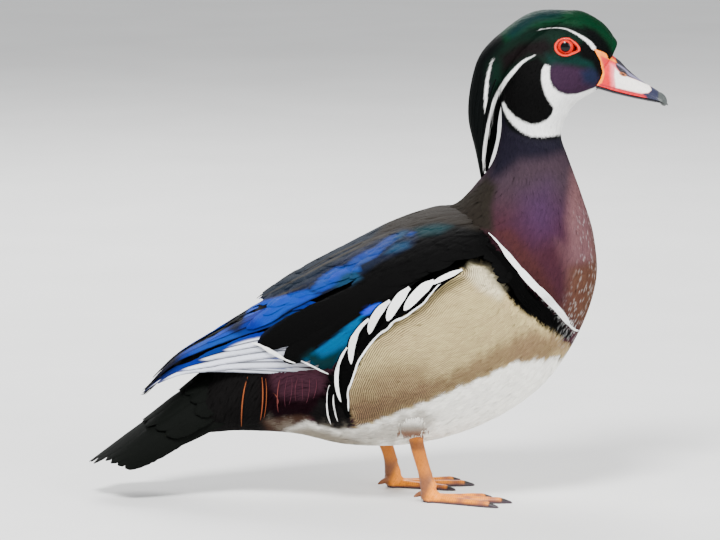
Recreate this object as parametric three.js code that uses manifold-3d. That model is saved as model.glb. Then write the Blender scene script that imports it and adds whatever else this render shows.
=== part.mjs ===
// A life-size wood duck drake, standing on flat webbed feet.
// Millimetres, +X towards the bill, +Y to the bird's left, +Z up, floor at z = 0.
import * as THREE from "three";
import { mergeVertices } from "three/addons/utils/BufferGeometryUtils.js";
import Module from "manifold-3d";

const wasm = await Module();
wasm.setup();

// Driving sizes
const GAP = 0.3;
const RIGHT = -1;
const LEFT = 1;
const HEAD_TURN = THREE.MathUtils.degToRad(-5);
const NECK_AXIS_X = 88;
const TURN_FROM_Z = 150;
const TURN_TO_Z = 222;
const RING_POINTS = 24;
const BODY_STEP = 0.62;
const HEAD_STEP = 0.48;

const { lerp, smoothstep, degToRad } = THREE.MathUtils;
const point = (x, y, z) => new THREE.Vector3(x, y, z);
const mix = (a, b, share) => a.clone().lerp(b, share);

// Random draws, seeded so that every build is the same.
function drawsFrom(seed) {
  let state = seed;
  return () => {
    state = (state * 16807) % 2147483647;
    return state / 2147483647;
  };
}

// A smooth value through evenly numbered stations.
function through(values, s) {
  const last = values.length - 1;
  const i = Math.min(Math.max(Math.floor(s), 0), last - 1);
  const f = s - i;
  const p1 = values[i];
  const p2 = values[i + 1];
  const p0 = i > 0 ? values[i - 1] : 2 * p1 - p2;
  const p3 = i + 2 <= last ? values[i + 2] : 2 * p2 - p1;
  const bend = 2 * p0 - 5 * p1 + 4 * p2 - p3;
  return 0.5 * (2 * p1 + f * (p2 - p0 + f * (bend + f * (3 * p1 - p0 - 3 * p2 + p3))));
}

// A value between named pairs of [place, value].
function between(pairs, place) {
  if (place <= pairs[0][0]) return pairs[0][1];
  for (let i = 1; i < pairs.length; i++)
    if (place <= pairs[i][0]) {
      const [from, to] = [pairs[i - 1], pairs[i]];
      return lerp(from[1], to[1], (place - from[0]) / (to[0] - from[0]));
    }
  return pairs.at(-1)[1];
}

// Solids
function solidFrom(points, triangles) {
  const position = new Float32Array(points.flatMap((p) => [p.x, p.y, p.z]));
  const geometry = new THREE.BufferGeometry()
    .setAttribute("position", new THREE.BufferAttribute(position, 3))
    .setIndex(triangles);
  return solidOf(geometry);
}

function solidOf(geometry) {
  const bare = geometry.clone();
  bare.deleteAttribute("normal");
  bare.deleteAttribute("uv");
  const merged = mergeVertices(bare, 1e-3);
  const vertProperties = merged.getAttribute("position").array;
  const triVerts = new Uint32Array(merged.index.array);
  const made = new wasm.Manifold(new wasm.Mesh({ numProp: 3, vertProperties, triVerts }));
  if (made.volume() > 0) return made;
  triVerts.reverse();
  return new wasm.Manifold(new wasm.Mesh({ numProp: 3, vertProperties, triVerts }));
}

const joined = (solids) => solids.reduce((all, one) => all.add(one));

// The largest closed surface of a solid, which drops scraps and fills sealed hollows.
function largest(solid) {
  return solid.decompose().reduce((a, b) => (b.volume() > a.volume() ? b : a));
}

// Rings of points, each closed, skinned from the first to the last and capped at both ends.
// From ring point "flipFrom" on, the faces are split the other way, so that both sides of a vane match.
function skinned(rings, flipFrom = Infinity) {
  const count = rings[0].length;
  const points = rings.flat();
  const triangles = [];
  for (let i = 0; i + 1 < rings.length; i++)
    for (let k = 0; k < count; k++) {
      const next = (k + 1) % count;
      const [a, b] = [i * count + k, i * count + next];
      const [c, d] = [a + count, b + count];
      if (k < flipFrom) triangles.push(a, b, d, a, d, c);
      else triangles.push(a, b, c, b, d, c);
    }
  const cap = (start, turn) => {
    const middle = points.length;
    const sum = rings[start].reduce((total, p) => total.add(p), point(0, 0, 0));
    points.push(sum.divideScalar(count));
    for (let k = 0; k < count; k++) {
      const [a, b] = [start * count + k, start * count + ((k + 1) % count)];
      triangles.push(...(turn ? [middle, b, a] : [middle, a, b]));
    }
  };
  cap(0, true);
  cap(rings.length - 1, false);
  return solidFrom(points, triangles);
}

// A flat outline in the side view, cut through the whole width.
function sidePrism(outline, half = 60) {
  const shape = new THREE.Shape(outline.map(([x, z]) => new THREE.Vector2(x, z)));
  const geometry = new THREE.ExtrudeGeometry(shape, { depth: 2 * half, bevelEnabled: false });
  geometry.rotateX(Math.PI / 2);
  geometry.translate(0, half, 0);
  return solidOf(geometry);
}

// The body from tail root to bill: back and belly line, half width, and how low the widest level is.
const BODY = [
  { back: [-105, 62], belly: [-96, 37], half: 19, low: 0 },
  { back: [-80, 96], belly: [-77, 38], half: 27, low: 0.05 },
  { back: [-51, 119], belly: [-48, 36.5], half: 37, low: 0.12 },
  { back: [-22, 138], belly: [-20, 30.5], half: 45, low: 0.16 },
  { back: [6, 154], belly: [12, 30], half: 50, low: 0.16 },
  { back: [29, 164], belly: [43, 36], half: 52, low: 0.12 },
  { back: [43.5, 169], belly: [72, 48.5], half: 50.5, low: 0.08 },
  { back: [51, 175.5], belly: [97, 68], half: 46, low: 0.05 },
  { back: [56.5, 182], belly: [115, 96], half: 39, low: 0 },
  { back: [62, 188.5], belly: [124.5, 125], half: 31, low: 0 },
  { back: [66, 195.5], belly: [123, 151], half: 24, low: 0 },
  { back: [68, 202.5], belly: [116.5, 173], half: 19.5, low: 0 },
  { back: [69.5, 210], belly: [108.5, 195], half: 16.5, low: 0 },
  { back: [70, 218], belly: [104, 208.5], half: 16, low: 0 },
  { back: [69.5, 228], belly: [106.5, 218.5], half: 17, low: 0.05 },
  { back: [69.5, 239], belly: [110.5, 226], half: 18, low: 0.12 },
  { back: [72, 252], belly: [117.5, 231.5], half: 18, low: 0.16 },
  { back: [79.5, 265.5], belly: [124, 235], half: 16.8, low: 0.18 },
  { back: [95, 277], belly: [127.5, 238], half: 14.6, low: 0.18 },
  { back: [112.5, 280.5], belly: [129, 243], half: 12.4, low: 0.15 },
  { back: [125.5, 274], belly: [131, 248.5], half: 9.6, low: 0.1 },
  { back: [133, 263.5], belly: [133, 254], half: 5.5, low: 0 },
];
const RUMP_END = 1.75;
const NECK_START = 9.2;
const HEAD_START = 12.7;
const bodyChannel = (pick) => BODY.map(pick);
const BACK_X = bodyChannel((b) => b.back[0]);
const BACK_Z = bodyChannel((b) => b.back[1]);
const BELLY_X = bodyChannel((b) => b.belly[0]);
const BELLY_Z = bodyChannel((b) => b.belly[1]);
const HALF = bodyChannel((b) => b.half);
const LOW = bodyChannel((b) => b.low);

// A point of the body's surface at station s and angle from the back, raised by lift. Side is RIGHT or LEFT.
function bodyAt(s, degrees, side, lift = 0) {
  const a = degToRad(degrees);
  const back = point(through(BACK_X, s), 0, through(BACK_Z, s));
  const belly = point(through(BELLY_X, s), 0, through(BELLY_Z, s));
  const middle = mix(back, belly, 0.5);
  const half = through(HALF, s);
  const up = back.sub(middle);
  const reach = up.length();
  const egg = 1 - through(LOW, s) * Math.cos(a);
  const spot = middle.addScaledVector(up, (Math.cos(a) * (reach + lift)) / reach);
  const across = side * (half * egg + lift + eyeMound(s, spot)) * Math.sin(a);
  return spot.add(point(0, across, 0));
}

// How far the skin round the eye stands out.
function eyeMound(s, spot) {
  if (s < 14) return 0;
  const away = Math.hypot(spot.x - EYE.x, spot.z - EYE.z) / EYE.mound;
  return EYE.rise * Math.exp(-away * away);
}

function bodySolid(lift) {
  const rings = [];
  const last = BODY.length - 1;
  for (let s = 0; s < last; s += s < HEAD_START ? BODY_STEP : HEAD_STEP) rings.push(bodyRing(s, lift));
  rings.push(bodyRing(last, lift));
  return skinned(rings);
}

function bodyRing(s, lift) {
  return Array.from({ length: RING_POINTS }, (_, k) => bodyAt(s, (k * 360) / RING_POINTS, RIGHT, lift));
}

// Halves a solid at a station of the body, leaving half the gap on each side.
function partedAt(solid, s, keepFront) {
  const back = point(through(BACK_X, s), 0, through(BACK_Z, s));
  const belly = point(through(BELLY_X, s), 0, through(BELLY_Z, s));
  const along = back.clone().sub(belly).normalize();
  const ahead = point(along.z, 0, -along.x);
  const normal = keepFront ? ahead : ahead.clone().negate();
  return solid.trimByPlane(normal.toArray(), normal.dot(back) + GAP / 2);
}

// The folded wing's outer surface: the line over the back, the widest level and its half width.
const MANTLE = [
  { top: [-138, 62], side: [-135, 60], half: 14 },
  { top: [-120, 81], side: [-113, 70], half: 20 },
  { top: [-103, 93], side: [-90, 75.5], half: 27 },
  { top: [-80, 107.5], side: [-64, 82], half: 36 },
  { top: [-51.5, 127.5], side: [-36, 91], half: 46 },
  { top: [-22.5, 143], side: [-8, 102], half: 54 },
  { top: [6, 158], side: [20, 116], half: 58 },
  { top: [29, 166], side: [46, 128], half: 58 },
  { top: [43.5, 168.5], side: [68, 134], half: 53 },
  { top: [50, 170], side: [84, 138], half: 44 },
];

// A point of an arched surface at station s and angle from its ridge, raised by lift.
function archAt({ topX, topZ, sideX, sideZ, half }, s, degrees, side, lift) {
  const a = degToRad(degrees);
  const level = point(through(sideX, s), 0, through(sideZ, s));
  const top = point(through(topX, s), 0, through(topZ, s)).sub(level);
  const reach = top.length();
  const across = side * (through(half, s) + lift) * Math.sin(a);
  return level.addScaledVector(top, (Math.cos(a) * (reach + lift)) / reach).add(point(0, across, 0));
}

const channels = (stations) => ({
  topX: stations.map((one) => one.top[0]),
  topZ: stations.map((one) => one.top[1]),
  sideX: stations.map((one) => one.side[0]),
  sideZ: stations.map((one) => one.side[1]),
  half: stations.map((one) => one.half),
});
const MANTLE_CHANNELS = channels(MANTLE);
const mantleAt = (s, degrees, side, lift = 0) => archAt(MANTLE_CHANNELS, s, degrees, side, lift);

// Outward direction of a surface given as at(s, degrees, side, lift).
function outward(at, s, degrees, side) {
  const here = at(s, degrees, side);
  const along = at(s + 0.05, degrees, side).sub(here);
  const round = at(s, degrees + 2, side).sub(here);
  const normal = along.cross(round).normalize();
  return side === LEFT ? normal.negate() : normal;
}

// How wide a vane is along its length: narrow at the root, full past the middle, rounded at the tip.
const LONG_STEPS = [0, 0.3, 0.62, 0.87, 1];
const SHORT_STEPS = [0, 0.5, 0.84, 1];
const VANE_THICK = 0.8;
function vaneShare(u, tip) {
  const root = lerp(0.5, 1, smoothstep(u, 0, 0.4));
  const end = u > 0.62 ? lerp(1, tip, ((u - 0.62) / 0.38) ** 2) : 1;
  return root * end;
}

// A feather's vane along its shaft. Each knot has a place and an outward direction.
// Roll lifts the edge that lies over the next feather, and bow lets both edges follow a round body.
function vane(knots, { half, thick, tip, roll = 0, bow = 0 }) {
  const rings = knots.map(({ at, out, u }, i) => {
    const before = knots[Math.max(i - 1, 0)].at;
    const after = knots[Math.min(i + 1, knots.length - 1)].at;
    const across = out.clone().cross(after.clone().sub(before)).normalize();
    const width = half * vaneShare(u, tip);
    const spot = (w, rise) => at.clone().addScaledVector(across, w).addScaledVector(out, rise + roll * w);
    const drop = bow * width * width;
    const shares = bow ? [-1, 0, 1] : [-1, 1];
    const face = (rise) => shares.map((w) => spot(w * width, rise - Math.abs(w) * drop));
    return [...face(thick / 2), ...face(-thick / 2).reverse()];
  });
  return skinned(rings, rings[0].length / 2);
}

// A vane laid on a surface from root to tip, both given as [station, degrees], sinking at its root.
function laidVane(at, side, feather) {
  const { root, tip, sink, lift, half, steps = SHORT_STEPS } = feather;
  const { thick = VANE_THICK, roll = 0, bow = 0, round = 0.4 } = feather;
  const knots = steps.map((u) => {
    const s = lerp(root[0], tip[0], u);
    const degrees = lerp(root[1], tip[1], u);
    const rise = lerp(-sink, lift, smoothstep(u, 0, 0.6));
    return { at: at(s, degrees, side, rise), out: outward(at, s, degrees, side), u };
  });
  return vane(knots, { half, thick, tip: round, roll: -side * roll, bow });
}

// A row of vanes between a first and a last one, each varied a little.
function vaneRow(at, side, count, first, last, draw) {
  return Array.from({ length: count }, (_, i) => {
    const share = count > 1 ? i / (count - 1) : 0;
    const pair = (key) => [
      lerp(first[key][0], last[key][0], share) + 0.05 * (draw() - 0.5),
      lerp(first[key][1], last[key][1], share) + 1.5 * (draw() - 0.5),
    ];
    const size = (key) => lerp(first[key], last[key] ?? first[key], share);
    const made = { root: pair("root"), tip: pair("tip"), steps: first.steps };
    for (const key of ["sink", "lift", "half", "roll", "round"]) made[key] = size(key);
    made.bow = first.bow ? size("bow") : 0;
    return laidVane(at, side, made);
  });
}

// A closed pad between two lifts over a stretch of a surface.
function pad(at, side, { from, to, steps, top, bottom, outer, inner, points = 12 }) {
  const rings = Array.from({ length: steps + 1 }, (_, i) => {
    const s = lerp(from, to, i / steps);
    const [a, b] = [top(s), bottom(s)];
    const angles = Array.from({ length: points }, (_, k) => lerp(a, b, k / (points - 1)));
    const outside = angles.map((d, k) => at(s, d, side, outer(s, k / (points - 1))));
    const inside = angles.map((d, k) => at(s, d, side, inner(s, k / (points - 1)))).reverse();
    return [...outside, ...inside];
  });
  return skinned(rings, points);
}

// The folded wing: a core under feathers in tiers, the primaries lowest and the scapulars on top.
const WING_TOP = [
  [1.3, 10],
  [2.4, 3],
  [5.2, 1.5],
  [6, 8],
  [7, 26],
  [8.5, 46],
];
const WING_BOTTOM = [
  [1.3, 76],
  [2.2, 84],
  [3.4, 98],
  [5, 108],
  [7, 108],
  [8.5, 96],
];

function wingCore(side) {
  const edge = (k) => Math.sin(Math.PI * k) ** 0.35;
  const front = (s) => smoothstep(s, 7, 8.5);
  return pad(mantleAt, side, {
    from: 1.3,
    to: 8.5,
    steps: 8,
    points: 6,
    top: (s) => between(WING_TOP, s),
    bottom: (s) => between(WING_BOTTOM, s),
    outer: (s, k) => -3.6 + 1.2 * edge(k) - 1.5 * front(s),
    inner: (s, k) => -5 - 5 * edge(k) - 2 * front(s),
  });
}

function primaries(side, draw) {
  const flight = { sink: 3.4, roll: 0.08, steps: LONG_STEPS };
  const lowest = { ...flight, root: [4.5, 104], tip: [0.1, 57], lift: -2.6, half: 6.6, round: 0.22 };
  const highest = { ...flight, root: [4.2, 58], tip: [2.4, 17], lift: 0.2, half: 8, round: 0.35 };
  return vaneRow(mantleAt, side, 5, lowest, highest, draw);
}

function secondaries(side, draw) {
  const flight = { sink: 3.2, roll: 0.08, round: 0.6 };
  const lowest = { ...flight, root: [5.9, 102], tip: [3.95, 105], lift: -1, half: 7.5 };
  const highest = { ...flight, root: [5.9, 84], tip: [3.5, 87], lift: 0, half: 8.5 };
  return vaneRow(mantleAt, side, 3, lowest, highest, draw);
}

// A broad black tertial, a blue one above it, and a dark one along the ridge.
function tertials(side) {
  const inner = { sink: 4.5, roll: 0.1, round: 0.5, steps: LONG_STEPS };
  return [
    { ...inner, root: [6.2, 70], tip: [3, 73], half: 14, lift: 0, roll: 0.04, bow: 0.008 },
    { ...inner, root: [6.3, 33], tip: [2.9, 40], half: 8.5, lift: 0.8 },
    { ...inner, root: [6.2, 10], tip: [3.1, 15], half: 7.5, lift: 0.6, round: 0.4 },
  ].map((one) => laidVane(mantleAt, side, one));
}

// Two rows over the shoulder, the rear one long and the front one short.
function scapulars(side, draw) {
  const rear = { sink: 4.5, roll: 0.08 };
  const rearLow = { ...rear, root: [7.3, 88], tip: [5, 78], lift: 0.9, half: 11, bow: 0.008, round: 0.5 };
  const rearHigh = { ...rear, root: [6.6, 22], tip: [4.4, 16], lift: 1, half: 8.5, bow: 0.01, round: 0.45 };
  const front = { sink: 5, roll: 0.06 };
  const frontLow = { ...front, root: [8.5, 82], tip: [6.3, 82], lift: 1, half: 11, bow: 0.009, round: 0.5 };
  const frontHigh = { ...front, root: [7.6, 28], tip: [5.7, 20], lift: 1.4, half: 9, bow: 0.01, round: 0.45 };
  return [
    ...vaneRow(mantleAt, side, 3, rearLow, rearHigh, draw),
    ...vaneRow(mantleAt, side, 3, frontLow, frontHigh, draw),
  ];
}

// The flank lies over the wing's lower edge. Its upper and lower edge are angles on the body.
const FLANK_TOP = [
  [2.6, 118],
  [2.8, 98],
  [3, 83],
  [3.5, 69],
  [4, 61],
  [5, 57],
  [6, 60],
  [6.5, 68],
  [7, 88],
  [7.4, 110],
  [7.8, 138],
];
const FLANK_BOTTOM = [
  [2.6, 136],
  [3, 138],
  [4, 131],
  [5, 125],
  [6, 125],
  [7, 131],
  [7.8, 148],
];
const FLANK_EDGE = 0.55;

function flankLift(s, share) {
  const along = smoothstep(s, 2.3, 4) * (1 - smoothstep(s, 5.6, 7.6));
  const down = 1 - smoothstep(share, 0.25, 1);
  return GAP + 0.35 + FLANK_EDGE + 6.6 * down * lerp(0.5, 1, along) * (1 - smoothstep(s, 6, 7.7));
}

function flankPad(side, extra = 0) {
  return pad(bodyAt, side, {
    from: 2.6 - 0.12 * extra,
    to: 7.8 + 0.12 * extra,
    steps: 10,
    points: 7,
    top: (s) => between(FLANK_TOP, s) - 8 * extra,
    bottom: (s) => between(FLANK_BOTTOM, s) + 8 * extra,
    outer: (s, k) => flankLift(s, k) + 4 * extra,
    inner: () => GAP + 0.35 - 8 * extra,
  });
}

// Long feathers along the flank's upper and rear edge, each lying over the next.
const FLANK_VANES = 7;
function flankVanes(side, extra = 0) {
  return Array.from({ length: FLANK_VANES }, (_, i) => {
    const s = lerp(5.3, 2.95, i / (FLANK_VANES - 1));
    return laidVane(bodyAt, side, {
      root: [s + 0.6, between(FLANK_TOP, s + 0.6) + 9],
      tip: [s - 0.3, between(FLANK_TOP, s - 0.3) + 3],
      sink: -5,
      lift: 7.8 - 0.22 * i,
      half: 4.8 + extra,
      thick: 1.1 + 2 * extra,
      round: 0.35,
    });
  });
}

// The tail's upper surface, arched from its ridge down to each side.
const TAIL_CHANNELS = channels([
  { top: [-92, 79], side: [-84, 47], half: 19 },
  { top: [-128, 49], side: [-117, 31.5], half: 24 },
  { top: [-166, 20], side: [-150, 16], half: 27 },
]);
const tailAt = (s, degrees, side, lift = 0) => archAt(TAIL_CHANNELS, s, degrees, side, lift);

// The tail's thick root, running out under its feathers.
const TAIL_ARCH = Array.from({ length: 9 }, (_, k) => lerp(-82, 82, k / 8));
const TAIL_CORE_END = 1.35;
function tailCore() {
  const steps = 4;
  const rings = Array.from({ length: steps + 1 }, (_, i) => {
    const s = lerp(0.02, TAIL_CORE_END, i / steps);
    const thin = smoothstep(s, 0.4, TAIL_CORE_END);
    const over = TAIL_ARCH.map((d) => tailAt(s, Math.abs(d), Math.sign(d) || 1, -2.6));
    const depth = (d) => lerp(27, 3, thin) * Math.cos(degToRad(d)) + 1.5;
    const under = TAIL_ARCH.map((d, k) => over[k].clone().add(point(0, 0, -depth(d)))).reverse();
    return [...over, ...under];
  });
  return skinned(rings, TAIL_ARCH.length);
}

const TAIL_FEATHERS_A_SIDE = 5;
function tailFeathers(draw) {
  const long = { sink: 3.4, half: 6.4, roll: 0.12, round: 0.5 };
  const middle = { ...long, root: [0.3, 7], tip: [2, 8], lift: 0.3 };
  const outer = { ...long, root: [0.2, 70], tip: [1.82, 78], lift: -0.4 };
  return [RIGHT, LEFT].flatMap((side) => vaneRow(tailAt, side, TAIL_FEATHERS_A_SIDE, middle, outer, draw));
}

// Coverts over the tail's root.
function tailCoverts(draw) {
  const covert = { sink: 3, half: 9, roll: 0.1, round: 0.45 };
  const middle = { ...covert, root: [0.04, 14], tip: [0.95, 13], lift: 1.3 };
  const outer = { ...covert, root: [0.04, 56], tip: [0.85, 56], lift: 1.2 };
  return [RIGHT, LEFT].flatMap((side) => vaneRow(tailAt, side, 2, middle, outer, draw));
}

// Drooping plumes at the rump's side.
function rumpPlumes(side) {
  return [0.62, 0.98].map((s, i) =>
    laidVane(bodyAt, side, {
      root: [s + 0.04, 74],
      tip: [s - 0.1, 130 - 8 * i],
      sink: 1.6,
      lift: 0.9,
      half: 1.5,
      round: 0.4,
    }),
  );
}

// The crest: long locks from the crown and nape, in three layers on each side of a thin core.
const CREST_OUT_X = [112, 88, 69, 57, 52, 51, 55, 58.5];
const CREST_OUT_Z = [281, 280, 267.5, 254, 236, 218, 200, 183.5];
const CREST_IN_X = [112, 92, 80, 71, 66, 64, 61, 59.5];
const CREST_IN_Z = [275, 262, 250, 238, 222, 208, 194, 184.5];
const CREST_HALF = [7, 11, 11.5, 8.5, 6, 5, 3.4, 1.2];

// A point of the crest at station s, share 0 at its outer and 1 at its inner edge, raised sideways by lift.
function crestAt(s, share, side, lift = 0) {
  const outer = point(through(CREST_OUT_X, s), 0, through(CREST_OUT_Z, s));
  const inner = point(through(CREST_IN_X, s), 0, through(CREST_IN_Z, s));
  const a = Math.PI * (0.12 + 0.6 * share);
  const spot = mix(outer, inner, (1 - Math.cos(a)) / 2);
  const out = outer.sub(inner).normalize();
  const across = side * (through(CREST_HALF, s) * Math.sin(a) + lift);
  return spot.addScaledVector(out, lift * Math.cos(a)).add(point(0, across, 0));
}

function crestCore() {
  const count = 10;
  const rings = Array.from({ length: 7 }, (_, i) => {
    const s = lerp(1.1, 5.2, i / 6);
    const outer = point(through(CREST_OUT_X, s), 0, through(CREST_OUT_Z, s));
    const inner = point(through(CREST_IN_X, s), 0, through(CREST_IN_Z, s));
    const half = through(CREST_HALF, s) - 2.2;
    return Array.from({ length: count }, (_, k) => {
      const a = (k * 2 * Math.PI) / count;
      return mix(outer, inner, 0.5 - 0.38 * Math.cos(a)).add(point(0, half * Math.sin(a), 0));
    });
  });
  return skinned(rings);
}

const LOCK_STEPS = [0, 0.16, 0.36, 0.57, 0.79, 1];
function crestLock(side, { from, to, share, half }) {
  const knots = LOCK_STEPS.map((u) => {
    const s = lerp(from, to, u);
    const rise = lerp(-2, 0.1, smoothstep(u, 0, 0.2));
    const here = crestAt(s, share, side, rise);
    const round = crestAt(s, share + 0.05, side, rise).sub(here);
    const along = crestAt(s + 0.05, share, side, rise).sub(here);
    const out = round.cross(along).normalize();
    if (out.y * side < 0) out.negate();
    return { at: here, out, u };
  });
  return vane(knots, { half, thick: 0.9, tip: 0.12, roll: side * 0.2 });
}

const LOCKS_A_SIDE = 4;
function crest(draw) {
  const locks = [];
  for (const side of [RIGHT, LEFT])
    for (let i = 0; i < LOCKS_A_SIDE; i++) {
      const share = i / (LOCKS_A_SIDE - 1);
      locks.push(
        crestLock(side, {
          from: 1.1 + 1.1 * share + 0.2 * draw(),
          to: 6.95 - 0.5 * Math.abs(i - 1) - 0.1 * draw(),
          share: 0.17 + 0.74 * share,
          half: 3.5,
        }),
      );
    }
  return joined([crestCore(), ...locks]);
}

// Eye, lids and bill
const EYE = { x: 107, y: 9.3, z: 262, radius: 6.2, mound: 8.5, rise: 2.5 };
const LID = { section: 0.95, halfLength: 5.4, halfHeight: 4.5, corner: 2.4 };

function eyeball(side, extra = 0) {
  const ball = new THREE.SphereGeometry(EYE.radius + extra, 14, 9);
  ball.translate(EYE.x, side * EYE.y, EYE.z);
  return solidOf(ball);
}

// The lids' rim: a rounded opening drawn out to a point towards the bill, lying on a ball round the eye.
function lidRim(side, extra = 0) {
  const count = 14;
  const sides = 5;
  const centre = point(EYE.x, side * EYE.y, EYE.z);
  const around = Array.from({ length: count }, (_, i) => {
    const a = (i * 2 * Math.PI) / count;
    const corner = LID.corner * Math.max(0, Math.cos(a)) ** 6;
    const along = (LID.halfLength + corner) * Math.cos(a);
    const spot = point(along, 0, LID.halfHeight * Math.sin(a) - 0.35 * corner);
    const ball = EYE.radius + GAP + LID.section;
    const deep = Math.sqrt(Math.max(ball * ball - spot.lengthSq(), 9));
    return centre.clone().add(point(spot.x, side * deep, spot.z));
  });
  const points = [];
  const triangles = [];
  around.forEach((here, i) => {
    const ahead = around[(i + 1) % count].clone().sub(around[(i + count - 1) % count]).normalize();
    const out = here.clone().sub(centre).normalize();
    const across = ahead.clone().cross(out).normalize();
    for (let k = 0; k < sides; k++) {
      const a = (k * 2 * Math.PI) / sides;
      const r = LID.section + extra;
      points.push(
        here
          .clone()
          .addScaledVector(across, 1.15 * r * Math.cos(a))
          .addScaledVector(out, r * Math.sin(a)),
      );
      const [a0, b0] = [i * sides + k, i * sides + ((k + 1) % sides)];
      const [c0, d0] = [((i + 1) % count) * sides + k, ((i + 1) % count) * sides + ((k + 1) % sides)];
      triangles.push(a0, b0, d0, a0, d0, c0);
    }
  });
  return solidFrom(points, triangles);
}

// The bill in side view: its base line against the feathers, culmen, mouth line and underside.
const BILL_BASE = [
  [122.8, 260.6],
  [126.6, 253.4],
  [127.9, 246],
  [126.6, 238.6],
  [124.4, 236.6],
];
const CULMEN = [
  [118, 262],
  [127, 259],
  [136.6, 253.6],
  [141.2, 248.4],
  [147, 243.2],
  [152.7, 239.2],
  [157.5, 236.6],
  [161.5, 234],
  [164.3, 230.8],
  [165.4, 227],
];
const MOUTH = [
  [118, 240.2],
  [126.6, 238.3],
  [133.7, 235.9],
  [144, 233.3],
  [153, 231.5],
  [158.5, 230.4],
  [163, 228.6],
  [165.4, 226.4],
];
const UNDERSIDE = [
  [118, 236.5],
  [126, 235.8],
  [133.7, 233.6],
  [144, 231.2],
  [155.5, 229],
  [161, 228.2],
  [162.4, 228.2],
];
const BILL_HALF = [
  [118, 9],
  [127, 8.6],
  [136, 7.8],
  [148, 7],
  [157, 6.6],
  [161.5, 5.4],
  [164, 3.6],
  [165.4, 1.2],
];

const BILL_ROOT_X = CULMEN[0][0];
const BILL_TIP_X = CULMEN.at(-1)[0];
const LOWER_TIP_X = 162.2;
const LOWER_INSET = 0.7;

// Half an arch across the bill, from its right edge over the middle to its left edge.
const ARCH = Array.from({ length: 9 }, (_, k) => lerp(-Math.PI / 2, Math.PI / 2, k / 8));

function billUpper() {
  const steps = 12;
  const rings = Array.from({ length: steps + 1 }, (_, i) => {
    const x = lerp(BILL_ROOT_X, BILL_TIP_X, (i / steps) ** 0.8);
    const [top, low, half] = [between(CULMEN, x), between(MOUTH, x) + GAP / 2, between(BILL_HALF, x)];
    const arch = ARCH.map((a) => point(x, half * Math.sin(a), low + (top - low) * Math.cos(a) ** 1.15));
    const palate = [0.5, 0, -0.5].map((k) => point(x, k * half, low + 0.2 * (1 - Math.abs(k))));
    return [...arch, ...palate];
  });
  return skinned(rings);
}

function billLower() {
  const steps = 11;
  const rings = Array.from({ length: steps + 1 }, (_, i) => {
    const x = lerp(BILL_ROOT_X, LOWER_TIP_X, i / steps);
    const top = between(MOUTH, x) - GAP / 2;
    const low = Math.min(between(UNDERSIDE, x), top - LOWER_INSET);
    const half = between(BILL_HALF, x) - LOWER_INSET;
    const keel = ARCH.map((a) => point(x, half * Math.sin(a), top - (top - low) * Math.cos(a) ** 0.8));
    const roof = [0.5, 0, -0.5].map((k) => point(x, k * half, top));
    return [...keel, ...roof];
  });
  return skinned(rings);
}

const NOSTRIL = { x: 140.4, y: 5.6, z: 245.4, length: 2.7, height: 1.3, depth: 2.2, slope: 38 };

function nostrils() {
  return [RIGHT, LEFT].map((side) => {
    const hole = new THREE.SphereGeometry(1, 14, 10);
    hole.scale(NOSTRIL.length, NOSTRIL.depth, NOSTRIL.height);
    hole.rotateY(degToRad(NOSTRIL.slope));
    hole.translate(NOSTRIL.x, side * NOSTRIL.y, NOSTRIL.z);
    return solidOf(hole);
  });
}

// The side-view area of the bill, grown by extra on its base line and forehead line.
function billArea(extra) {
  const base = BILL_BASE.map(([x, z], i) => [x - extra, i ? z : z + extra]);
  return sidePrism([
    ...base,
    [120, 231 - extra],
    [128, 226],
    [180, 210],
    [180, 236],
    [137.2, 253.6 + extra],
    [131, 257.6 + extra],
  ]);
}

// Legs and feet. Each foot has its heel's place, heading and side.
const FEET = {
  right: { side: RIGHT, heel: [30, -25], heading: degToRad(-4), hip: [20.5, -23, 42] },
  left: { side: LEFT, heel: [9.5, 25], heading: degToRad(3), hip: [2, 23, 36] },
};
const ANKLE_Z = 7;
// The inner, middle and outer toe
const TOES = [
  { length: 37, spread: degToRad(-24) },
  { length: 46, spread: degToRad(2) },
  { length: 43, spread: degToRad(25) },
];
const CLAW = 7;
const SHANK_RADII = [6.5, 6, 5.2, 4.6, 4.2, 4.1, 3.9, 3.8, 3.9, 4.3, 4.9, 5.4];
const SHANK_SQUASH = 0.82;
const WEB_THICK = 0.9;

function tube(path, radii, sides = 12, squash = 1) {
  const curve = new THREE.CatmullRomCurve3(path);
  const steps = radii.length - 1;
  const rings = radii.map((r, i) => {
    const at = curve.getPoint(i / steps);
    const ahead = curve.getTangent(i / steps);
    const across = point(0, 1, 0).cross(ahead).normalize();
    const over = ahead.clone().cross(across).normalize();
    return Array.from({ length: sides }, (_, k) => {
      const a = (k * 2 * Math.PI) / sides;
      return at
        .clone()
        .addScaledVector(across, r * Math.cos(a))
        .addScaledVector(over, squash * r * Math.sin(a));
    });
  });
  return skinned(rings);
}

function leg({ side, heel, hip }) {
  const [x, y] = heel;
  const path = [
    point(hip[0] - 1, hip[1], hip[2] + 14),
    point(hip[0], hip[1], hip[2] - 4),
    point(lerp(hip[0], x, 0.45) + 0.6, lerp(hip[1], y, 0.5), 19),
    point(x - 1, y, ANKLE_Z + GAP / 2),
  ];
  const shank = tube(path, SHANK_RADII, 12, SHANK_SQUASH);
  return shank.trimByPlane([0, 0, 1], ANKLE_Z + GAP / 2);
}

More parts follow.
